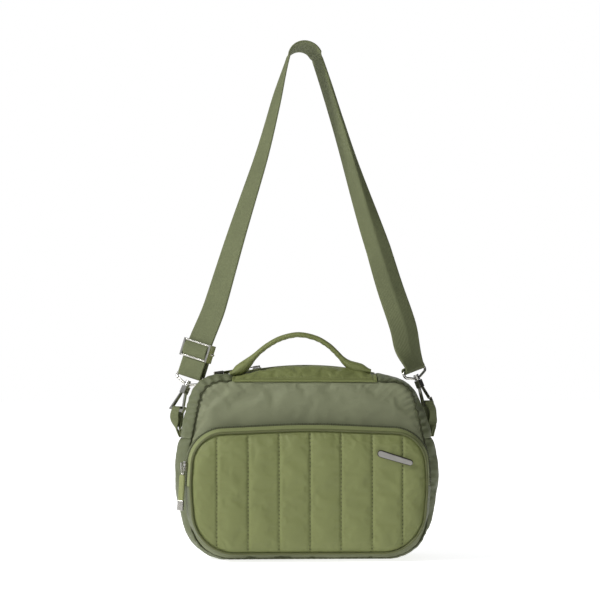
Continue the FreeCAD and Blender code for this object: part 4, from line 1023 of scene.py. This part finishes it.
def right_side_fold(distance):
    """The fold along the strap's right side, at distances up from its ring: the turns of its left
    and right halves in degrees, the left one's width, and the ridge's shift to the side."""
    share = np.clip((distance - 25) / 305, 0, 1)
    left_turn = 45 - 43 * ramp(distance, 0, 32) - 76 * (1 - (1 - share) ** 1.8)
    right_turn = (45 - 22 * ramp(distance, 0, 34) + 41 * ramp(distance, 125, 245)
                  - 24 * ramp(distance, 262, 330))
    left_long = 15 + 2 * ramp(distance, 0, 30) + 11.5 * np.clip((distance - 125) / 205, 0, 1)
    shift = (2.4 * ramp(distance, 8, 45) + 1.2 * np.exp(-((distance - 50) / 25) ** 2)
             + 2.4 * ramp(distance, 120, 260))
    return left_turn, right_turn, left_long, shift


def folded_row(ridge, left_turn, right_turn, left_long, count=17):
    """Points across the folded webbing, bent over in a short curve at its ridge."""
    left = -RIGHT.width(left_turn)
    right = RIGHT.width(right_turn)
    row = []
    for place in np.linspace(0, 2 * HALF_WIDE, count):
        reach = place - left_long
        soft = math.sqrt(reach * reach + 0.8) - 0.9
        row.append(ridge + (left if reach < 0 else right) * max(soft, 0))
    return np.array(row)


def strap():
    """The whole strap as one sheet: round the left ring's bar, up, over and down to the right
    ring's bar, creased lengthwise on its right side."""
    rows = []
    wide, back, up = LEFT.ring_frame()
    for angle in np.linspace(0, math.pi, 15):
        centre = LEFT.base + back * LAYER_GAP * (1 + math.cos(angle)) - up * LAYER_GAP * math.sin(angle)
        rows.append(band_row(centre, -wide, wide))
    for distance in np.linspace(3, LEFT.long, 110):
        wide = LEFT.width(-left_side_turn(distance))
        bow = 3.2 * ramp(distance, 22, 75) * (1 - ramp(distance, 215, 330))
        sway = 0.4 * math.sin(distance / 31)
        cup = np.cross(LEFT.along, wide) * 0.8 * ramp(distance, 30, 90)
        row = band_row(LEFT.base + LEFT.along * distance + LEFT.across * (bow + sway), -wide, wide)
        rows.append(row + (np.linspace(-1, 1, 17) ** 2)[:, None] * cup[None, :])
    for angle in np.linspace(LEFT.angle + math.pi / 2, RIGHT.angle - math.pi / 2, 26)[1:-1]:
        out = np.array([math.cos(angle), 0, math.sin(angle)])
        share = (LEFT.angle + math.pi / 2 - angle) / (LEFT.angle - RIGHT.angle + math.pi)
        tip = math.radians(20 * share + 6 * math.sin(math.pi * share))
        wide = np.array([0, -math.cos(tip), 0]) + out * math.sin(tip)
        rows.append(band_row(APEX + out * APEX_RADIUS, -wide, wide))
    distances = np.linspace(RIGHT.long, 3, 130)
    folds = right_side_fold(distances)
    for distance, left_turn, right_turn, left_long, shift in zip(distances, *folds):
        ridge = RIGHT.base + RIGHT.along * distance + RIGHT.across * shift
        rows.append(folded_row(ridge, left_turn, right_turn, left_long))
    wide, back, up = RIGHT.ring_frame()
    for angle in np.linspace(math.pi, -math.pi / 2, 22):
        centre = RIGHT.base + back * LAYER_GAP * (1 + math.cos(angle)) - up * LAYER_GAP * math.sin(angle)
        rows.append(band_row(centre, -wide, wide))
    grid = np.array(rows)
    piece = sheet_piece("strap_band", grid, 1.5, WEBBING, centred=True)
    finish_piece(piece, "strap", "webbing", "strap_webbing")


def strap_end():
    """The layer that doubles back behind, from the left ring to the adjuster's post, and the roll
    of webbing over that post."""
    wide, back, up = LEFT.ring_frame()
    post = LEFT.base + up * 25 + back * 3.3
    rows = []
    for distance in np.linspace(0.2, 19, 24):
        rows.append(band_row(LEFT.base + up * distance + back * (LAYER_GAP * 2), -wide, wide))
    for angle in np.linspace(0.0, 1.6 * math.pi, 26):
        centre = post + back * 2.2 * math.cos(angle) + up * 2.2 * math.sin(angle)
        rows.append(band_row(centre, -wide, wide))
    grid = np.array(rows)
    piece = sheet_piece("strap_return_band", grid, 1.3, WEBBING, centred=True)
    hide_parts("strap_return", "strap_end_loop")
    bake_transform(piece)

    rows = []
    for share in np.linspace(-1, 1, 31):
        stand_off = 1.5 + 2.6 * math.cos(share * math.pi / 2) ** 0.6
        centre = LEFT.base + up * (25 + share * 6.6) - back * stand_off
        rows.append(band_row(centre, -wide, wide))
    piece = sheet_piece("strap_over_post", np.array(rows), 1.3, WEBBING, centred=True)
    finish_piece(piece, "adjuster", "webbing")


# ------------------------------------------------------------------ zip pullers, metal, hidden parts

def puller(prefix, body):
    """The puller's cloth tab: folded tape with a stitched border."""
    points = np.array([v.co for v in frame["nodes"][f"{prefix}_puller"].data.vertices]) / MM
    centre = points.mean(axis=0)
    cap = np.array([v.co for v in frame["nodes"][f"{prefix}_puller_cap"].data.vertices]) / MM
    along = cap.mean(axis=0) - centre
    along /= np.linalg.norm(along)
    rest = points - centre
    rest = rest - np.outer(rest @ along, along)
    spread = np.linalg.svd(rest, full_matrices=False)[2]
    wide_axis, thin_axis = spread[0], spread[1]
    half_long = np.abs((points - centre) @ along).max()
    half_wide = np.abs((points - centre) @ wide_axis).max()
    half_thin = np.abs((points - centre) @ thin_axis).max()
    count = 40
    path = centre + np.outer(np.linspace(-half_long, half_long, count), along)
    end = np.minimum(np.arange(count), np.arange(count)[::-1]) / (count - 1) * half_long * 2
    wide = half_wide * (0.98 - 0.12 * np.exp(-end / 2))
    thick = half_thin * (1.0 + 0.1 * np.sin(np.arange(count) / 3.0))
    piece = tube_piece(f"{prefix}_puller_tape", path, wide_axis, wide, thick, PULLER_CLOTH, 24, 4.0)
    finish_piece(piece, body, "puller_tape", f"{prefix}_puller")
    runs = []
    for side in (-1, 1):
        for face in (-1, 1):
            line = path[3:-3] + wide_axis * side * half_wide * 0.62 + thin_axis * face * half_thin * 1.02
            runs.append((line, np.tile(thin_axis * face, (len(line), 1))))
    thread = stitches(f"{prefix}_puller_stitches", runs, LIGHT_THREAD, 2.4, 1.6, 0.18)
    finish_piece(thread, body, "puller_tape")


def badge_rim():
    """A dark rim round the plain metal bar."""
    low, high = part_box("badge")
    centre = np.array([(low.x + high.x) / 2, (low.y + high.y) / 2, (low.z + high.z) / 2]) / MM
    tilt = math.radians(17)
    along = np.array([math.cos(tilt), 0, -math.sin(tilt)])
    up = np.array([math.sin(tilt), 0, math.cos(tilt)])
    line = []
    for k in range(120):
        a = 2 * math.pi * k / 120
        end = 15.0 if math.cos(a) > 0 else -15.0
        radius = 2.6 if end > 0 else 3.1
        line.append(centre + along * (end + radius * math.cos(a)) + up * radius * math.sin(a)
                    + np.array([0, 0.15, 0]))
    path = evenly(np.vstack([line, line[:1]]), 161)[:-1]
    piece = tube_piece("badge_dark_rim", path, (0, 1, 0), 0.75, 0.45, BADGE_RIM, 10, closed=True)
    finish_piece(piece, "bag", "gunmetal")


def dress_nodes():
    """The CAD nodes: inner cloth, with the linings, the fittings and the zips' metal in their own."""
    for name, item in frame["nodes"].items():
        material = INNER_CLOTH
        if name == "badge":
            material = BADGE_METAL
        elif name in ("main_zip_slider", "pocket_zip_slider") or "cap" in name:
            material = GUNMETAL
        elif any(word in name for word in ("ring", "hook", "gate", "swivel", "slider", "loop")):
            material = STEEL
        elif "lining" in name or name == "slip_pocket":
            material = LINING_CLOTH
        item.data.materials.clear()
        item.data.materials.append(material)
        item.data.polygons.foreach_set("material_index", [0] * len(item.data.polygons))


# ------------------------------------------------------------------ camera and light

def aim(item, target):
    item.rotation_euler = (Vector(target) - item.location).to_track_quat("-Z", "Y").to_euler()


def studio():
    floor_tree = Nodes("floor_paper")
    floor_tree.shader.inputs["Base Color"].default_value = (0.8, 0.8, 0.8, 1)
    floor_tree.shader.inputs["Roughness"].default_value = 0.9
    floor_tree.shader.inputs["Emission Color"].default_value = (1, 1, 1, 1)
    floor_tree.shader.inputs["Emission Strength"].default_value = 0.8
    size = 4000.0
    floor = mesh_piece("floor", [(-size, -size, -0.4), (size, -size, -0.4), (size, size, -0.4),
                                 (-size, size, -0.4)], [(0, 1, 2, 3)], floor_tree.material)

    world = bpy.data.worlds.new("studio")
    world.use_nodes = True
    tree = world.node_tree
    shown = tree.nodes["Background"]
    shown.inputs["Color"].default_value = (1, 1, 1, 1)
    shown.inputs["Strength"].default_value = 1.0
    lit = tree.nodes.new("ShaderNodeBackground")
    lit.inputs["Color"].default_value = (0.96, 0.98, 1, 1)
    direction = tree.nodes.new("ShaderNodeTexCoord").outputs["Generated"]
    towards = tree.nodes.new("ShaderNodeVectorMath")
    towards.operation = "DOT_PRODUCT"
    towards.inputs[1].default_value = (-0.8, -0.2, 0.55)
    tree.links.new(direction, towards.inputs[0])
    level = tree.nodes.new("ShaderNodeMapRange")
    for name, value in (("From Min", -0.4), ("From Max", 1.0), ("To Min", 0.02), ("To Max", 0.42)):
        level.inputs[name].default_value = value
    tree.links.new(towards.outputs["Value"], level.inputs["Value"])
    tree.links.new(level.outputs["Result"], lit.inputs["Strength"])
    ray = tree.nodes.new("ShaderNodeLightPath")
    mix = tree.nodes.new("ShaderNodeMixShader")
    tree.links.new(ray.outputs["Is Camera Ray"], mix.inputs[0])
    tree.links.new(lit.outputs[0], mix.inputs[1])
    tree.links.new(shown.outputs[0], mix.inputs[2])
    tree.links.new(mix.outputs[0], tree.nodes["World Output"].inputs["Surface"])
    SCENE.world = world

    for name, spot, power, size in (("key", (-2.15, -0.95, 2.0), 82, 0.6),
                                    ("fill", (0.4, -2.6, 0.7), 2.5, 1.0),
                                    ("rear", (0.8, 1.9, 1.0), 5, 1.4)):
        light = bpy.data.lights.new(name, "AREA")
        light.energy = power
        light.size = size
        item = bpy.data.objects.new(name, light)
        SCENE.collection.objects.link(item)
        item.location = spot
        aim(item, (0, 0, 0.15))

    camera = bpy.data.cameras.new("camera")
    camera.lens = 36 * 2.6 / 0.6
    camera.sensor_width = 36
    camera.clip_start = 0.05
    camera.clip_end = 50
    item = bpy.data.objects.new("camera", camera)
    SCENE.collection.objects.link(item)
    azimuth = math.radians(-3)
    target = Vector((-0.007, -0.005, 0.258))
    item.location = target + Vector((math.sin(azimuth), -math.cos(azimuth), 0)) * 2.6
    aim(item, target)
    SCENE.camera = item
    SCENE.view_settings.view_transform = "Standard"
    SCENE.view_settings.look = "None"


studio()
main_compartment()
painted_seam_shadow()
top_panel()
front_pocket()
handle()
tabs()
strap()
strap_end()
for prefix, body in (("main_zip", "main_puller"), ("pocket_zip", "pocket_puller")):
    puller(prefix, body)
badge_rim()
dress_nodes()
